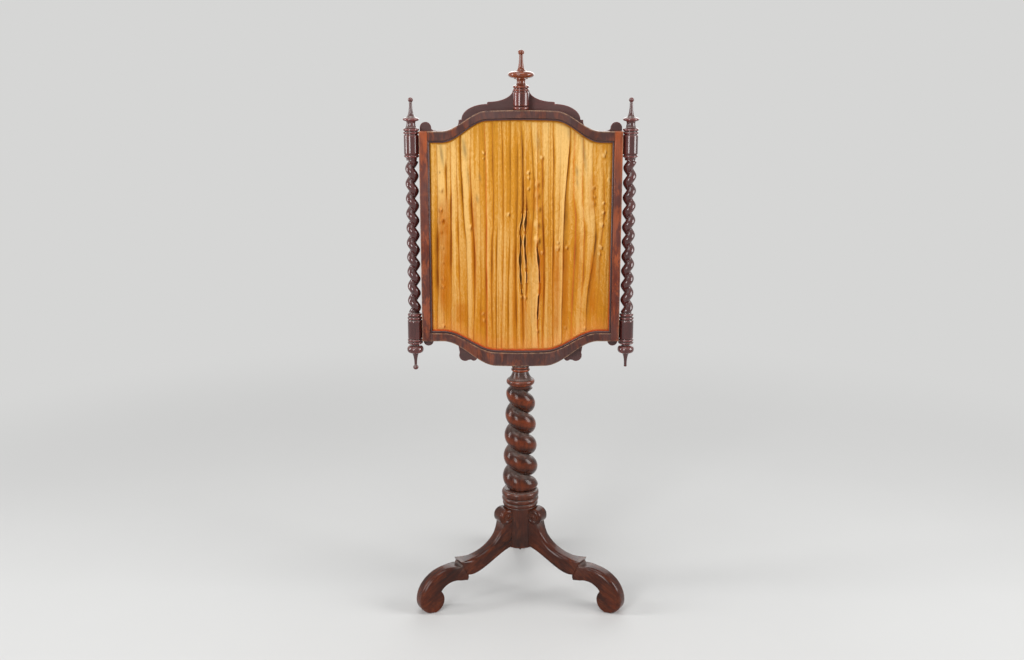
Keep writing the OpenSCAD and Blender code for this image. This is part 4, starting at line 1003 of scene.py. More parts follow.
class POLESCREEN_OT_silk(bpy.types.Operator):
    """Make the gathered silk with its uneven folds, splits and puckers"""
    bl_idname = "pole_screen.silk"
    bl_label = "Silk"

    # Width of a crease's painted dark line, place and width of a split's lip, and share of even steps across
    # a fold
    CREASE_W, LIP_X, LIP_W, EVEN = 0.8, 1.5, 1.1, 0.62
    # Least and greatest height of the cloth, its height under the slips and its slope away from them
    LEAST, MOST, UNDER_SLIP, SLOPE = 0.15, 8.8, 2.9, 0.4

    def execute(self, context):
        look = context.scene.pole_screen_silk
        heights = np.linspace(0.0, 1.0, look.rows + 1)
        creases = self.crease_lines(heights)
        folds = len(creases) - 1
        ease = np.linspace(0.0, 1.0, look.columns + 1)
        ease = self.EVEN * ease + (1 - self.EVEN) * (1 - np.cos(np.pi * ease)) / 2
        xs, up, marks = [], [], {"height": [], "crease": [], "line": [], "split": []}
        chance = random.Random(12)
        for i in range(folds):
            pair = creases[i], creases[i + 1]
            left, right = pair[0][0], pair[1][0]
            skew = chance.choice((0.26, 0.34, 0.45))
            if left.mean() > 0:
                skew = 1 - skew
            crown = chance.uniform(0.7, 1.0)
            tone = chance.uniform(-0.07, 0.05)
            minor = [(chance.uniform(0.25, 0.75), chance.uniform(0.03, 0.12)) for _ in range(2)]
            for u in ease if i == folds - 1 else ease[:-1]:
                x = left + (right - left) * u
                body = crown * self.fold_height(x, pair, skew)
                for place, depth in minor:
                    body = body - depth * np.exp(-(((u - place) / 0.07) ** 2))
                red, line, split = [], [], []
                for (edge, gap, strength, redness), sign in zip(pair, (1, -1)):
                    far = np.minimum((x - edge) * sign - gap, 99)
                    thin = strength ** 0.7 * np.exp(-np.abs(far) / self.CREASE_W)
                    # Red in the crease, a painted dark line of shade down it, and the mark where it splits
                    red.append(redness * thin)
                    line.append((1 - 0.8 * redness) * thin)
                    split.append(np.where(gap > 0.25, np.clip(0.6 - far / self.CREASE_W, 0, 1), 0))
                    lip = 0.5 * np.exp(-(((far - self.LIP_X) / self.LIP_W) ** 2))
                    body = body + np.where(gap > 0.2, lip, 0.0)
                xs.append(x)
                up.append(body)
                marks["height"].append(tone + 0 * x)
                marks["crease"].append(0.8 * np.maximum(*red))
                marks["line"].append(np.maximum(*line))
                marks["split"].append(np.maximum(*split))
        marks = {key: np.array(values) for key, values in marks.items()}
        self.build(look, np.array(xs), np.array(up), marks, heights)
        return {"FINISHED"}

    def crease_lines(self, heights):
        """Place, half gap, strength and red of each crease, each from the foot to the top of the silk."""
        chance = random.Random(5)
        half = RAIL_HALF - SILK_GAP
        z = PANEL_Z - 26 + (PANEL_TOP - PANEL_Z + 50) * heights
        plain = 0 * heights
        rows = [(plain - half, plain, plain + 0.3, 0.3)]
        for row in CREASES:
            if row[0] in SPLITS:
                red, path = row[1], sorted(SPLITS[row[0]])
            else:
                red, path = row[0], sorted((height, place, 0, force) for height, place, force in row[1])
            level, *parts = zip(*path)
            line, gap, force = (np.interp(z, level, part) for part in parts)
            gap = gap * np.clip(1 + 0.6 * np.sin(z / 6.3) + 0.5 * np.sin(z / 15.0 + 1), 0.15, 1.9)
            phase = chance.uniform(0, 6.28), chance.uniform(0, 6.28)
            line = line + 0.2 * np.sin(z / 23.0 + phase[0]) + 0.08 * np.sin(z / 9.0 + phase[1])
            force = force * (1 + 0.14 * np.sin(z / 17.0 + phase[1]))
            before, gap_before = rows[-1][:2]
            line = np.maximum(line, before + 2.4 + gap + gap_before)
            rows.append((line, gap, np.clip(force, 0.05, 1.0), red))
        return rows + [(plain + half, plain, plain + 0.3, 0.3)]

    def fold_height(self, x, pair, skew):
        """Height of one fold between two creases, from 0 in a full crease to 1 on its crest."""
        left, right = pair[0][0], pair[1][0]
        crest = left + (right - left) * skew
        value = np.ones_like(x)
        for (edge, gap, strength, _), sign in zip(pair, (1, -1)):
            away = np.maximum(0.0, (x - edge) * sign - gap)
            run = np.maximum(1.0, np.abs(crest - edge) - gap)
            steep = 0.5 if (skew < 0.5) == (sign > 0) else 1.05
            rise = np.sin(np.pi / 2 * np.minimum(1.0, away / run)) ** steep
            value = value - strength ** 1.5 * (1 - rise)
        return np.clip(value, 0.0, 1.0)

    def build(self, look, xs, up, marks, heights):
        """Mesh of the silk, its marks and its flat size."""
        low = np.vectorize(foot_inner)(xs) + SILK_GAP
        high = np.vectorize(top_inner)(xs) - SILK_GAP
        zs = low + (high - low) * heights[None, :]
        depth = look.fold_depth / MM
        rise, hollow = self.puckered(xs, zs, depth * (0.16 + 0.84 * up))
        rise = np.where(marks["split"] > 0.4, np.minimum(rise, 0.25), rise)
        to_side = SIGHT_HALF - np.abs(xs)
        border = np.minimum(to_side, np.minimum(zs - low, high - zs) - SLIP_W)
        # The cloth stays under the slips and may stand higher away from them
        most = np.clip(self.UNDER_SLIP + np.maximum(0.0, border) * self.SLOPE, 0.0, self.MOST)
        rise = np.clip(rise, self.LEAST, most)
        # Painted shade in the hollow beside each pucker, added to the creases' dark line
        marks["line"] = np.maximum(marks["line"], 0.9 * hollow)
        # Height of the cloth for its colour: painted shade low in the folds, paler on the crests
        marks["height"] = np.clip((rise - 0.3) / (depth - 0.5) + marks["height"], 0, 1)
        # Share of the height up the cloth, for the browner colour towards the foot
        marks["fade"] = (zs - low) / (high - low)
        self.tone(marks, xs, zs, zs - low - SLIP_W, high - zs - SLIP_W, to_side)
        columns, rows = xs.shape
        front = np.stack([xs, SILK_BACK - rise, zs], axis=-1)
        sheet = front.reshape(-1, 3)
        points = np.concatenate([sheet, sheet + (0, look.thickness / MM, 0)])
        doubled = {key: np.concatenate([values.ravel()] * 2) for key, values in marks.items()}
        run = np.cumsum(np.sqrt(np.diff(xs, axis=0) ** 2 + np.diff(rise, axis=0) ** 2), axis=0)
        run = np.concatenate([np.zeros((1, rows)), run])
        woven = np.stack([run, 0 * run, zs], axis=-1).reshape(-1, 3) * MM
        doubled["grain"] = np.concatenate([woven, woven])
        faces = self.sheet_faces(columns, rows)
        piece = make_piece("silk", points, faces, silk_cloth(), "screen", ["silk_panel"], doubled)

    def puckered(self, xs, zs, rise):
        """Height of the cloth with its ripples and puckers, and the hollows beside the puckers."""
        drift = xs + 0.8 * np.sin(zs / 41.0 + xs / 23.0)
        ripple = 0.05 * np.sin(drift * 1.13 + 2.0) + 0.07 * np.sin(drift * 0.61 + 1.0)
        rise = rise + ripple * (0.5 + 0.5 * np.sin(zs / 37.0 + xs / 13.0))
        rise = rise + 0.35 * np.sin(zs / 83.0 + xs / 47.0)
        hollow = np.zeros_like(xs)
        for x, z, r, lift in PUCKERS:
            r, lift = 0.7 * r, 1.6 * lift
            lean = (zs - z) * (0.35 if int(z) % 2 else -0.2)
            bulge = ((xs - x - lean) / (1.15 * r)) ** 2 + ((zs - z) / (1.5 * r)) ** 2
            dent = ((xs - x - 1.2 * r) / (0.6 * r)) ** 2 + ((zs - z + 0.9 * r) / (1.4 * r)) ** 2
            rise = rise + lift * np.exp(-(bulge ** 1.3)) - 0.9 * lift * np.exp(-dent)
            hollow = np.maximum(hollow, np.exp(-dent) * min(1.0, lift))
        return rise, hollow

    def tone(self, marks, xs, zs, to_foot, to_top, to_side):
        """Red edges, pink foot, stains and smudges; the last three values are distances from the slips."""
        uneven = 0.5 + 0.5 * np.sin(xs * 0.37 + 1.7 * np.sin(xs * 0.11)) * np.sin(zs * 0.05 + 1.0)
        foot = np.clip(2.2 * (1 - to_foot / (2.0 + 2.6 * uneven)), 0, 1)
        sides = np.clip(1 - to_side / (np.where(xs > 0, 3.4, 1.6) * (0.5 + 0.8 * uneven)), 0, 1)
        sides = sides * np.clip((900 - zs) / 220, 0.25, 1)
        lid = 0.5 * np.clip(1 - to_top / (0.8 + 1.2 * uneven), 0, 1)
        marks["edge"] = 0.85 * np.maximum(np.maximum(foot, sides), lid)
        marks["blush"] = 0.35 * np.clip(1 - to_foot / (26 + 16 * uneven), 0, 1)
        for key, spots, tilt, powers in (("stain", STAINS, 0.0, (6, 8)), ("smudge", SMUDGES, 0.12, (2, 2))):
            marks[key] = np.zeros_like(xs)
            for x, z, wide, tall, strength in spots:
                aside = (xs - x - tilt * (z - zs)) / wide
                spot = strength * np.exp(-(aside ** powers[0]) - ((zs - z) / tall) ** powers[1])
                marks[key] = np.maximum(marks[key], spot)

    def sheet_faces(self, columns, rows):
        """Faces of the front, of the back and of the rim between them."""
        count = columns * rows
        corners = [k * rows + j for k in range(columns - 1) for j in range(rows - 1)]
        faces = [(a, a + 1, a + rows + 1, a + rows) for a in corners]
        faces += [tuple(count + i for i in reversed(f)) for f in faces]
        rim = [k * rows for k in range(columns)] + [(columns - 1) * rows + j for j in range(1, rows)]
        rim += [k * rows + rows - 1 for k in range(columns - 2, -1, -1)] + list(range(rows - 2, 0, -1))
        return faces + [(a, b, count + b, count + a) for a, b in zip(rim, rim[1:] + rim[:1])]


class POLESCREEN_OT_twists(bpy.types.Operator):
    """Make the column's twist and the two side twists"""
    bl_idname = "pole_screen.twists"
    bl_label = "Twists"

    def execute(self, context):
        sizes = context.scene.pole_screen_twist
        finish = woods()
        column = {
            "z": (TWIST_Z, CAP_Z), "pitch": sizes.pitch / MM, "start": 28, "groove": sizes.groove / MM,
            "radii": (sizes.foot_d / 2 / MM, sizes.top_d / 2 / MM), "necks": (28.5, 24.0), "ease": 12.0,
            "steps": 260, "sides": 80, "strand": plump_strand, "core": POLE_R + 3.6,
            "rubbed": 0.7, "dust_and_sheen": 1.0,
        }
        twisted("column_shaft", finish["mahogany"], "base", "column_twist", column, bore=POLE_R + BORE_ROOM)
        r = sizes.side_d / 2 / MM
        side_sizes = {
            "z": (SIDE_FOOT, SIDE_TOP), "pitch": sizes.side_pitch / MM, "groove": sizes.side_groove / MM,
            "radii": (r, r), "necks": (SIDE_NECK, SIDE_NECK), "ease": 5.0, "steps": 330, "sides": 40,
            "strand": slim_strand, "core": 2.0, "rubbed": 0.0, "dust_and_sheen": 0.25,
        }
        # The two strands wind opposite ways, each from its own angle
        for (side, name), start, seed in zip(SIDES, (124, -43), (1, 2)):
            twisted(
                "side_shaft_" + name, finish["rosewood"], "screen", "side_twist_" + name,
                {**side_sizes, "start": start}, (side * SIDE_X, 0), flip=side > 0, seed=seed,
            )
        return {"FINISHED"}


class POLESCREEN_OT_turnings(bpy.types.Operator):
    """Make the hub, the cap, the pole's collar, the finial and the ends of the side columns"""
    bl_idname = "pole_screen.turnings"
    bl_label = "Turnings"

    def execute(self, context):
        finish = woods()
        self.make_column(finish["mahogany"])
        self.make_finial(finish["finial_wood"])
        for side, name in SIDES:
            self.make_side_cap(finish["rosewood"], side, name)
            self.make_side_drop(finish["rosewood"], side, name, ball=side < 0)
        return {"FINISHED"}

    def make_column(self, finish):
        """Hub with the collar's rings, cap over the twist, and the pole's collar."""
        neck, ring_h, bore_end = 37.5, 40, 222
        hub = quarter((0, -4), (HUB_R - 0.6, -0.6), 14) + [(HUB_R, 0.6), (HUB_R, HUB_H)]
        # Inset, swell, start and end of each ring of the collar
        for inset, swell, start, end in ((1.5, 3.5, 0.012, 0.25), (0.5, 4, 0.275, 0.525), (0, 4, 0.55, 0.91)):
            hub += bead(neck - inset, swell, HUB_H + start * ring_h, HUB_H + end * ring_h)
        hub += [(neck - 1.5, HUB_H + 0.94 * ring_h), (neck - 1.5, TWIST_Z - HUB_Z)]
        r = POLE_R + BORE_ROOM
        bore = [(r, TWIST_Z - HUB_Z), (r, bore_end - HUB_Z), (LEAST_R, bore_end - HUB_Z)]
        turned("hub", hub, finish, "base", ["column_base"], base=HUB_Z, bore=bore, seed=3, rub=0.3)
        cap_h = COLUMN_TOP - CAP_Z
        cap = quarter_up((24, 0), (27, 6.4)) + bead(27, 4, 7.2, 18.4, 18)
        foot, head = (27, 19), (17, cap_h - 7.5)
        cap += [foot] + swing(foot, moved(foot, -4.5, 2.5), moved(head, 2.5, -8), head, 14) + [head]
        cap += bead(18, 2.5, cap_h - 6.8, cap_h - 1.2) + [(17.5, cap_h - 1), (17.5, cap_h)]
        bore = [(POLE_R + 0.05, cap_h), (POLE_R + 0.05, 0)]
        turned("cap", cap, finish, "base", ["column_cap"], base=CAP_Z, bore=bore, seed=4)
        collar_h = SEAT_Z - COLUMN_TOP - RUNNING_ROOM
        collar = bead(17.8, 1.2, 0, collar_h - 2) + [(17.8, collar_h - 0.4), (17.4, collar_h)]
        bore = [(POLE_R + 0.1, collar_h), (POLE_R + 0.1, 0)]
        turned("collar_ring", collar, finish, "pole", ["pole_collar"], base=COLUMN_TOP, bore=bore, seed=5)

    def make_finial(self, finish):
        """Finial that stands on the top rail."""
        r, top = 16.5, 122
        line = bead(r - 2.4, 2.4, 0, 7) + [(r - 3.4, 7.6), (r - 2, 8.6)]
        line += [(r, 9.6), (r, 35), (r - 0.5, 36), (r - 2, 37)]
        line += bead(r - 2, 2.3, 38, 43.6) + bead(r - 2, 2.6, 44, 50) + quarter((r - 3, 50.5), (9, 57))
        line += quarter_up((9, 59), (15, 63)) + bead(15, 12.25, 64.5, 78.5, 24) + [(10, 79)]
        line += quarter((9.4, 80.5), (4, top - 10), 16) + arc((0, top - 5), 6.6, -48, 0, 8)
        line += quarter_up((6.6, top - 5), (0, top))
        low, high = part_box("centre_finial")
        centre = (0, (low[1] + high[1]) / 2 / MM - AXIS_Y)
        turned("finial", line, finish, "screen", ["centre_finial"], centre, top_edge(0), sides=112, seed=6)

    def make_side_cap(self, finish, side, name):
        """Upper end of a side column, with its spire."""
        r, low = SIDE_R, SIDE_SHOULDER
        beads_z = low + SIDE_END
        spire_z = beads_z + 16
        top = spire_z + 62
        line = [(SIDE_NECK, 0), (SIDE_NECK, 1.5)] + quarter_up((SIDE_NECK, 1.5), (r - 2, low - 7))
        line += bead(r - 2, 2.4, low - 6.4, low - 1.4)
        line += [(r - 1.6, low - 0.8), (r - 0.3, low - 0.2), (r, low + 0.5)]
        line += [(r, beads_z - 0.4), (r - 0.3, beads_z + 0.2), (r - 2, beads_z + 1.6)]
        line += bead(r - 2, 2.9, beads_z + 2.5, beads_z + 8) + bead(r - 2, 2.9, beads_z + 8.6, beads_z + 14.4)
        line += quarter((r - 1.6, spire_z - 1), (9.2, spire_z + 10)) + [(10, spire_z + 12)]
        line += bead(10.5, 6.6, spire_z + 13, spire_z + 20.5)
        line += quarter((9.8, spire_z + 21.5), (3.3, top - 11), 16)
        line += arc((0, top - 5.2), 5.4, -54, 0, 8) + quarter_up((5.4, top - 5.2), (0, top))
        turned(
            "side_cap_turning_" + name, line, finish, "screen", ["side_cap_" + name], (side * SIDE_X, 0),
            SIDE_TOP, seed=8 + side,
        )

    def make_side_drop(self, finish, side, name, ball):
        """Lower end of a side column; without its ball, the drop ends in a broken stem."""
        r, low, stem = SIDE_R, SIDE_SHOULDER, 3
        beads_z = low + 5 + SIDE_END
        drop_z = beads_z + 14
        end = drop_z + 58
        line = [(SIDE_NECK, 0), (SIDE_NECK, 1)]
        line += bead(r - 3.4, 2.8, 2, 8.6) + bead(r - 2.2, 2.4, 9.6, low + 2.6)
        line += [(r - 1.6, low + 4), (r - 0.3, low + 4.7), (r, low + 5.4)]
        line += [(r, beads_z - 0.5), (r - 0.3, beads_z), (r - 2, beads_z + 1)]
        line += bead(r - 2, 2.9, beads_z + 1.6, beads_z + 7) + bead(r - 2, 2.9, beads_z + 7.6, beads_z + 13)
        line += [(8.3, drop_z), (8.3, drop_z + 2.5)] + quarter((8.3, drop_z + 2.5), (18, drop_z + 11))
        line += quarter_up((18, drop_z + 12), (12, drop_z + 19))
        line += quarter((10, drop_z + 19.5), (stem, end - 13), 16) + [(stem, end - 10.6)]
        if ball:
            line += arc((0, end - 5.4), 5.9, -58, 0, 8) + quarter_up((5.9, end - 5.4), (0, end))
        else:
            line += [(stem + 0.5, end - 9), (stem - 0.4, end - 7.4), (0.4, end - 7)]
        turned(
            "side_drop_turning_" + name, line, finish, "screen", ["side_drop_" + name], (side * SIDE_X, 0),
            SIDE_FOOT, down=True, seed=12 + side,
        )


class POLESCREEN_OT_legs(bpy.types.Operator):
    """Make the three scroll legs, each of a thigh and a foot that meet at the knee"""
    bl_idname = "pole_screen.legs"
    bl_label = "Legs"

    HALF, REACH, SEAT, KNUCKLE_R = 17.5, 257.5, 29.0, 18.5
    KNUCKLE = (HUB_R + 5.5, HUB_Z + HUB_H - KNUCKLE_R - 0.3)
    # Upper and lower end of the step at the knee
    LIP = (REACH - 97.5, 104.5)
    LIP_LOW = moved(LIP, -18, -34)
    # Place of the wear on the foot, and the hollows at the knee and under the knuckle that hold dust
    TOE_X, KNEE, CREASE = REACH - 6.5, (155.0, 93.0), (51.8, 169.5)

    def execute(self, context):
        finish = woods()["mahogany"]
        points, faces = [], []
        for line in (self.thigh_line(), self.foot_line()):
            self.add_part(line, points, faces)
        self.add_knuckle(points, faces)
        wear, dust, grain = self.leg_marks(points)
        for angle, name in ((210, "left"), (330, "right"), (90, "rear")):
            c, s = math.cos(math.radians(angle)), math.sin(math.radians(angle))
            placed = [(x * c - y * s, x * s + y * c, z) for x, y, z in points]
            shift = np.array((0.31 * angle, 0.17 * angle, 0.0))
            marks = {"wear": wear, "dust": dust, "grain": (np.array(grain) + shift) * MM}
            make_piece("scroll_leg_" + name, placed, faces, finish, "base", ["leg_" + name], marks)
        return {"FINISHED"}

    def thigh_line(self):
        """Outline of the thigh with the rounding of its edges at each point, clockwise from the hub."""
        r, knuckle, lip, lip_low = self.KNUCKLE_R, self.KNUCKLE, self.LIP, self.LIP_LOW
        start = math.degrees(math.acos((self.SEAT - knuckle[0]) / r))
        crease = arc(knuckle, r, -58, -58, 1)[0]
        root = (self.SEAT, HUB_Z + 2)
        line = [(self.SEAT, knuckle[1] + r * math.sin(math.radians(start)), 1.0)]
        line += [(*p, 12.0) for p in arc(knuckle, r, start - 12, -46, 30)] + [(*crease, 1.0)]
        line += [(*p, 10.0) for p in swing(crease, moved(crease, 11, -38), moved(lip, -62, -5), lip, 34)]
        line += [(*lip, 1.0), (*moved(lip, -1.8, -4), 0.9), (*moved(lip, -3.6, -8.2), 0.9)]
        line += [(*moved(lip_low, 7.0, 10.0), 0.9), (*moved(lip_low, -0.4, -5.6), 0.9), (*lip_low, 1.0)]
        under = swing(lip_low, moved(lip_low, -30, -10.5), (HUB_R + 29.5, HUB_Z - 5), root, 26)
        return line + [(*p, 2.5) for p in under] + [(*root, 1.0)]

    def foot_line(self):
        """Outline of the scroll foot, clockwise from the knee."""
        reach, lip_low = self.REACH, self.LIP_LOW
        scroll, r, flat = (reach - 28, 27.2), 28.0, 0.8
        rest = math.degrees(math.acos((r - flat) / r))
        heel, wide, tall = (reach - 79.5, scroll[1] - 2), 79.5, 70
        line = [(*moved(self.LIP, -3.5, -8), 0.9)]
        for i in range(37):
            t = math.radians(104 - 104 * i / 36)
            place = (heel[0] + wide * math.cos(t), heel[1] + 2 * math.cos(t) + tall * math.sin(t))
            line.append((*place, 1.0 if i == 0 else 10.0))
        line += [(*p, 10.0) for p in arc(scroll, r, -12, -90 + rest, 14)]
        line += [(*p, 2.5) for p in arc(scroll, r, -90 - rest, -222, 26)]
        line += [(*p, 2.5) for p in arc((reach - 82, 21), 42, 44, 110, 16)]
        line += [(*moved(lip_low, 1.5, -12), 1.0), (*moved(lip_low, -0.5, -6), 0.9)]
        return line + [(*moved(lip_low, 7.2, 9.8), 0.9)]

    def eased(self, line):
        """Edge rounding eased down to that of the sharp corners near by, measured along the outline."""
        n = len(line)
        result = []
        for i in range(n):
            best = line[i][2]
            for way in (-1, 1):
                run, j = 0.0, i
                for _ in range(24):
                    k = (j + way) % n
                    run += math.dist(line[j][:2], line[k][:2])
                    best = min(best, line[k][2] + 0.3 * run)
                    j = k
            result.append((line[i][0], line[i][1], best))
        return result

    def add_part(self, line, points, faces):
        """Thigh or foot from its outline, with rounded edges."""
        line = self.eased(line)
        radii = [p[2] for p in line]
        start, steps = len(points), 7
        turns = [math.pi / 2 * i / steps for i in range(steps + 1)]
        for side, run in ((-1, turns[::-1]), (1, turns)):
            for t in run:
                edge = inset_line(line, [r * (1 - math.cos(t)) for r in radii])
                depths = [side * (self.HALF - r + r * math.sin(t)) for r in radii]
                points.extend((x, y, z) for (x, z), y in zip(edge, depths))
        faces.extend(ring_faces(2 * len(turns), len(line), start=start))

    def add_knuckle(self, points, faces):
        """Round scroll at the head of the leg, a little proud of its sides, with a button in a hollow."""
        half, r, sides, start = self.HALF + 1.6, self.KNUCKLE_R, 64, len(points)
        face = [(LEAST_R, half - 0.3), (2.6, half - 0.7), (4.8, half - 1.9), (5.8, half - 3.2)]
        face += [(6.8, half - 3.3), (8.2, half - 2.2), (9.6, half - 0.8)]
        face += quarter((11, half), (r, half - 8), 10) + [(r, half - 12)]
        for rad, y in face + [(rad, -y) for rad, y in reversed(face)]:
            for i in range(sides):
                a = 2 * math.pi * i / sides
                points.append((self.KNUCKLE[0] + rad * math.cos(a), y, self.KNUCKLE[1] + rad * math.sin(a)))
        faces.extend(ring_faces(2 * len(face), sides, start=start))

    def leg_marks(self, points):
        """Wear at the foot, dust at the knee and under the knuckle, and grain that runs down the leg."""
        wear, dust, grain = [], [], []
        for x, y, z in points:
            toe = max(0.0, 1 - abs(x - self.TOE_X) / 14) * max(0.0, 1 - z / 70)
            wear.append(0.25 * max(0.0, 1 - z / 22) + 0.3 * toe)
            at_knee = max(0.0, 1 - math.dist((x, z), self.KNEE) / 26) if x > self.KNEE[0] - 2 else 0.0
            dust.append(max(at_knee, 0.0, 1 - math.dist((x, z), self.CREASE) / 12) * 0.9)
            grain.append((0.86 * z + 0.5 * x, y, 0.86 * x - 0.5 * z))
        return wear, dust, grain


class POLESCREEN_OT_frame(bpy.types.Operator):
    """Make the stiles, the shaped rails and the slips round the silk"""
    bl_idname = "pole_screen.frame"
    bl_label = "Frame"

    def execute(self, context):
        finish = woods()
        arris = context.scene.pole_screen_wood.arris / MM
        for side, name in SIDES:
            inner, outer = side * RAIL_HALF, side * PANEL_HALF
            line = [(inner, PANEL_Z), (inner, PANEL_TOP), (outer, PANEL_TOP), (outer, PANEL_Z)]
            points, faces, wear = eased_plate(line, FACE_Y, BACK_Y, arris)
            wear = [w * (0.7 if abs(p[0]) > PANEL_HALF - 3 else 0.1) for p, w in zip(points, wear)]
            # The right stile is warmer towards its top
            up = [(p[2] - PANEL_Z) / (PANEL_TOP - PANEL_Z) for p in points]
            warm = [0.2 * t - 0.06 if side > 0 else 0.02 for t in up]
            make_piece(
                "upright_" + name, points, faces, finish["stile_wood"], "screen", ["stile_" + name],
                {"wear": wear, "warm": warm}, True,
            )
        # Wear is most at a rail's outer edge, and at the foot of the opening
        for name, low, high, node, rubbed in (
            ("crown_rail", top_inner, top_edge, "top_rail", (0.1, 1.0)),
            ("foot_rail", foot_edge, foot_inner, "bottom_rail", (1.0, 0.8)),
        ):
            points, faces, wear = barred(across(RAIL_HALF, BAR_STEPS), low, high, FACE_Y, BACK_Y, arris)
            wear = [w * rubbed[z > (low(x) + high(x)) / 2] for (x, _, z), w in zip(points, wear)]
            make_piece(name, points, faces, finish["cross_veneer"], "screen", [node], {"wear": wear}, True)
        line_opening(
            "sight_slip_", "slip_", finish["slip_wood"], SLIP_W, (SLIP_Y, SLIP_BACK), (1.7, 0.2, 5)
        )
        return {"FINISHED"}


class POLESCREEN_OT_boards(bpy.types.Operator):
    """Make the crest, the apron and their screws"""
    bl_idname = "pole_screen.boards"
    bl_label = "Boards"

    def execute(self, context):
        finish = woods()["board_wood"]
        arris = context.scene.pole_screen_wood.arris / MM
        crest = mirrored(self.crest_edge()) + [(x, top_inner(x) + BOARD_LAP) for x in across(PANEL_HALF, 96)]
        apron = mirrored(self.apron_edge()) + [(x, foot_inner(x) - BOARD_LAP) for x in across(PANEL_HALF, 96)]
        for name, line in (("crest", crest), ("apron", apron)):
            points, faces, wear = eased_plate(line, BACK_Y, BOARD_BACK, arris, margin=1.0)
            marks = {"wear": wear, "grain": level_grain(points), "film": np.full(len(points), BOARD_FILM)}
            make_piece(name, points, faces, finish, "screen", [name + "_board"], marks, True)
        self.make_screws()
        return {"FINISHED"}

    def crest_edge(self):
        """Right half of the crest's edge, from the peak to its end."""
        peak, step, low, ear = PANEL_TOP + 84.5, PANEL_TOP + 58, PANEL_TOP + 22, 12.0
        ear_in = PANEL_HALF - 2 * ear
        edge = [(0.0, peak), (8.0, peak)] + quarter_up((17, peak), (68, step + 1.5), 20)
        edge += [(71, step), (71, step - 3)] + quarter((71, step - 3), (125, low + 1), 20)
        edge += [(131, low), (131, low - 3)] + quarter_up((131, low - 3), (157, PANEL_TOP), 14)
        edge += quarter((ear_in - 0.9 * ear, PANEL_TOP), (ear_in + 0.05, PANEL_TOP + ear / 2 - 0.5), 10)
        return edge + arc((PANEL_HALF - ear, PANEL_TOP + ear / 2), ear, 178, 0, 24)

    def apron_edge(self):
        """Right half of the apron's lower edge, from the middle to the ear."""
        seat, ear = SEAT_Z, 11.0
        edge = [(5.25 * i, foot_edge(5.25 * i) + 1) for i in range(17)]
        edge += arc((103, seat + 12), 7.5, 200, 320, 16) + arc((122, seat + 17), 13, 235, 385, 24)
        edge += [(138 + 4 * i, foot_edge(138 + 4 * i) + 1) for i in range(11)]
        edge += [(PANEL_HALF - 2 * ear, PANEL_Z + 1)]
        return edge + arc((PANEL_HALF - ear, PANEL_Z - 6), ear, 180, 360, 24)

    def make_screws(self):
        """Slotted countersunk screws, with their heads a little proud of the boards."""
        points, faces = [], []
        chance = random.Random(3)
        for side in (-1, 1):
            for x in (RAIL_HALF / 2, RAIL_HALF - 5.5):
                for low, high in ((top_inner, top_edge), (foot_edge, foot_inner)):
                    place = (side * x, (low(x) + high(x)) / 2)
                    self.add_screw(points, faces, place, chance.uniform(0, math.pi))
        iron = metal("screw_iron", *SCREW_IRON)
        make_piece("board_screw_heads", points, faces, iron, "screen", ["board_screws"])

    def add_screw(self, points, faces, place, turn):
        """One screw: two half heads either side of the slot, and the shank under them."""
        r, proud, slot, deep, n, ring = 4.0, 0.7, 0.55, 0.6, 16, 24
        c, s = math.cos(turn), math.sin(turn)

        def add(x, z, depth):
            points.append((place[0] + x * c - z * s, BOARD_BACK + depth, place[1] + x * s + z * c))

        reach = math.asin(slot / r)
        for half in (0, 1):
            start = len(points)
            rim = [half * math.pi + reach + (math.pi - 2 * reach) * i / n for i in range(n + 1)]
            for depth, size in ((proud, r - 0.5), (proud - 0.25, r), (-2.0, 2.0)):
                for a in rim:
                    z = size * math.sin(a)
                    add(size * math.cos(a), max(z, slot) if half == 0 else min(z, -slot), depth)
            faces.extend(ring_faces(3, n + 1, start=start))
        start = len(points)
        under = proud - deep
        for depth, size in ((under, 3.6), (under - 0.3, 3.3), (-2.0, 2.0), (-15.0, 2.0), (-20.0, 0.2)):
            for i in range(ring):
                a = 2 * math.pi * i / ring
                add(size * math.cos(a), size * math.sin(a), depth)
        faces.extend(ring_faces(5, ring, start=start))


class POLESCREEN_OT_back(bpy.types.Operator):
    """Make the board behind the silk and the beads that hold it"""
    bl_idname = "pole_screen.back"
    bl_label = "Back"

    def execute(self, context):
        finish = woods()["backing_wood"]
        slack = 0.1
        points, faces, wear = barred(
            across(RAIL_HALF - slack, 96), lambda x: foot_inner(x) + slack, lambda x: top_inner(x) - slack,
            BACKING_Y, BACKING_BACK, 0.4,
        )
        make_piece("backing", points, faces, finish, "screen", ["backing_board"], {"wear": wear}, True)
        depths = (BACKING_BACK, BACKING_BACK + BEAD_T)
        line_opening("back_bead_", "bead_", finish, BEAD_T, depths, (1.4, 0.5, 3), slack, True)
        return {"FINISHED"}


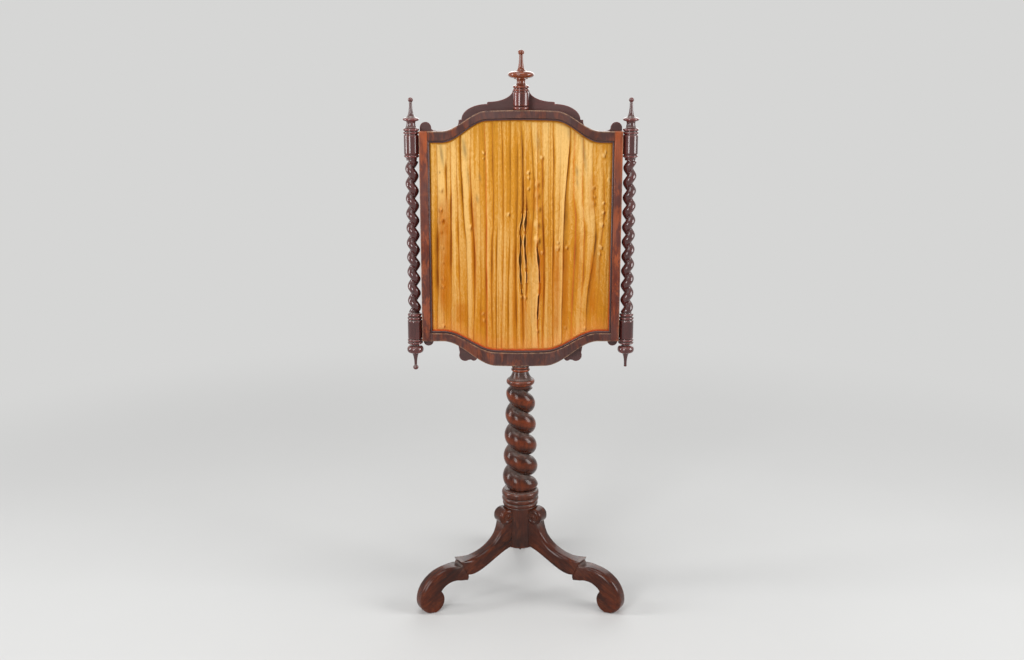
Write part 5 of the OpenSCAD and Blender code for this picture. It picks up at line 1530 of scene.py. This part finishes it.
class POLESCREEN_OT_fittings(bpy.types.Operator):
    """Finish the pole, its spring, the pegs and the screw that stay as solids"""
    bl_idname = "pole_screen.fittings"
    bl_label = "Fittings"

    def execute(self, context):
        finish = woods()
        chosen = {
            "pole": finish["mahogany"],
            "pole_spring": metal("spring_steel", *SPRING_STEEL),
            "leg_dowels": finish["dowel_wood"],
            "side_dowels": finish["dowel_wood"],
            "base_screw": metal("screw_iron", *SCREW_IRON),
        }
        for node, material in chosen.items():
            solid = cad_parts[node]
            solid.data.materials.clear()
            solid.data.materials.append(material)
        return {"FINISHED"}


class POLESCREEN_PT_panel(bpy.types.Panel):
    """Lists the pieces of the pole screen"""
    bl_idname = "POLESCREEN_PT_panel"
    bl_label = "Pole Screen"
    bl_space_type = "VIEW_3D"
    bl_region_type = "UI"
    bl_category = "Pole Screen"

    def draw(self, context):
        for operator in OPERATORS:
            self.layout.operator(operator.bl_idname)


OPERATORS = (
    POLESCREEN_OT_stage,
    POLESCREEN_OT_silk,
    POLESCREEN_OT_twists,
    POLESCREEN_OT_turnings,
    POLESCREEN_OT_legs,
    POLESCREEN_OT_frame,
    POLESCREEN_OT_boards,
    POLESCREEN_OT_back,
    POLESCREEN_OT_fittings,
)
GROUPS = {
    "pole_screen_wood": WoodLook,
    "pole_screen_silk": SilkLook,
    "pole_screen_twist": TwistSizes,
    "pole_screen_stage": StageLook,
}


def register():
    for group in GROUPS.values():
        bpy.utils.register_class(group)
    for name, group in GROUPS.items():
        setattr(bpy.types.Scene, name, PointerProperty(type=group))
    for operator in OPERATORS:
        bpy.utils.register_class(operator)
    bpy.utils.register_class(POLESCREEN_PT_panel)


def unregister():
    bpy.utils.unregister_class(POLESCREEN_PT_panel)
    for operator in reversed(OPERATORS):
        bpy.utils.unregister_class(operator)
    for name in GROUPS:
        delattr(bpy.types.Scene, name)
    for group in reversed(GROUPS.values()):
        bpy.utils.unregister_class(group)


def main():
    register()
    bpy.ops.pole_screen.stage()
    bpy.ops.pole_screen.silk()
    bpy.ops.pole_screen.twists()
    bpy.ops.pole_screen.turnings()
    bpy.ops.pole_screen.legs()
    bpy.ops.pole_screen.frame()
    bpy.ops.pole_screen.boards()
    bpy.ops.pole_screen.back()
    bpy.ops.pole_screen.fittings()


if __name__ == "__main__":
    main()
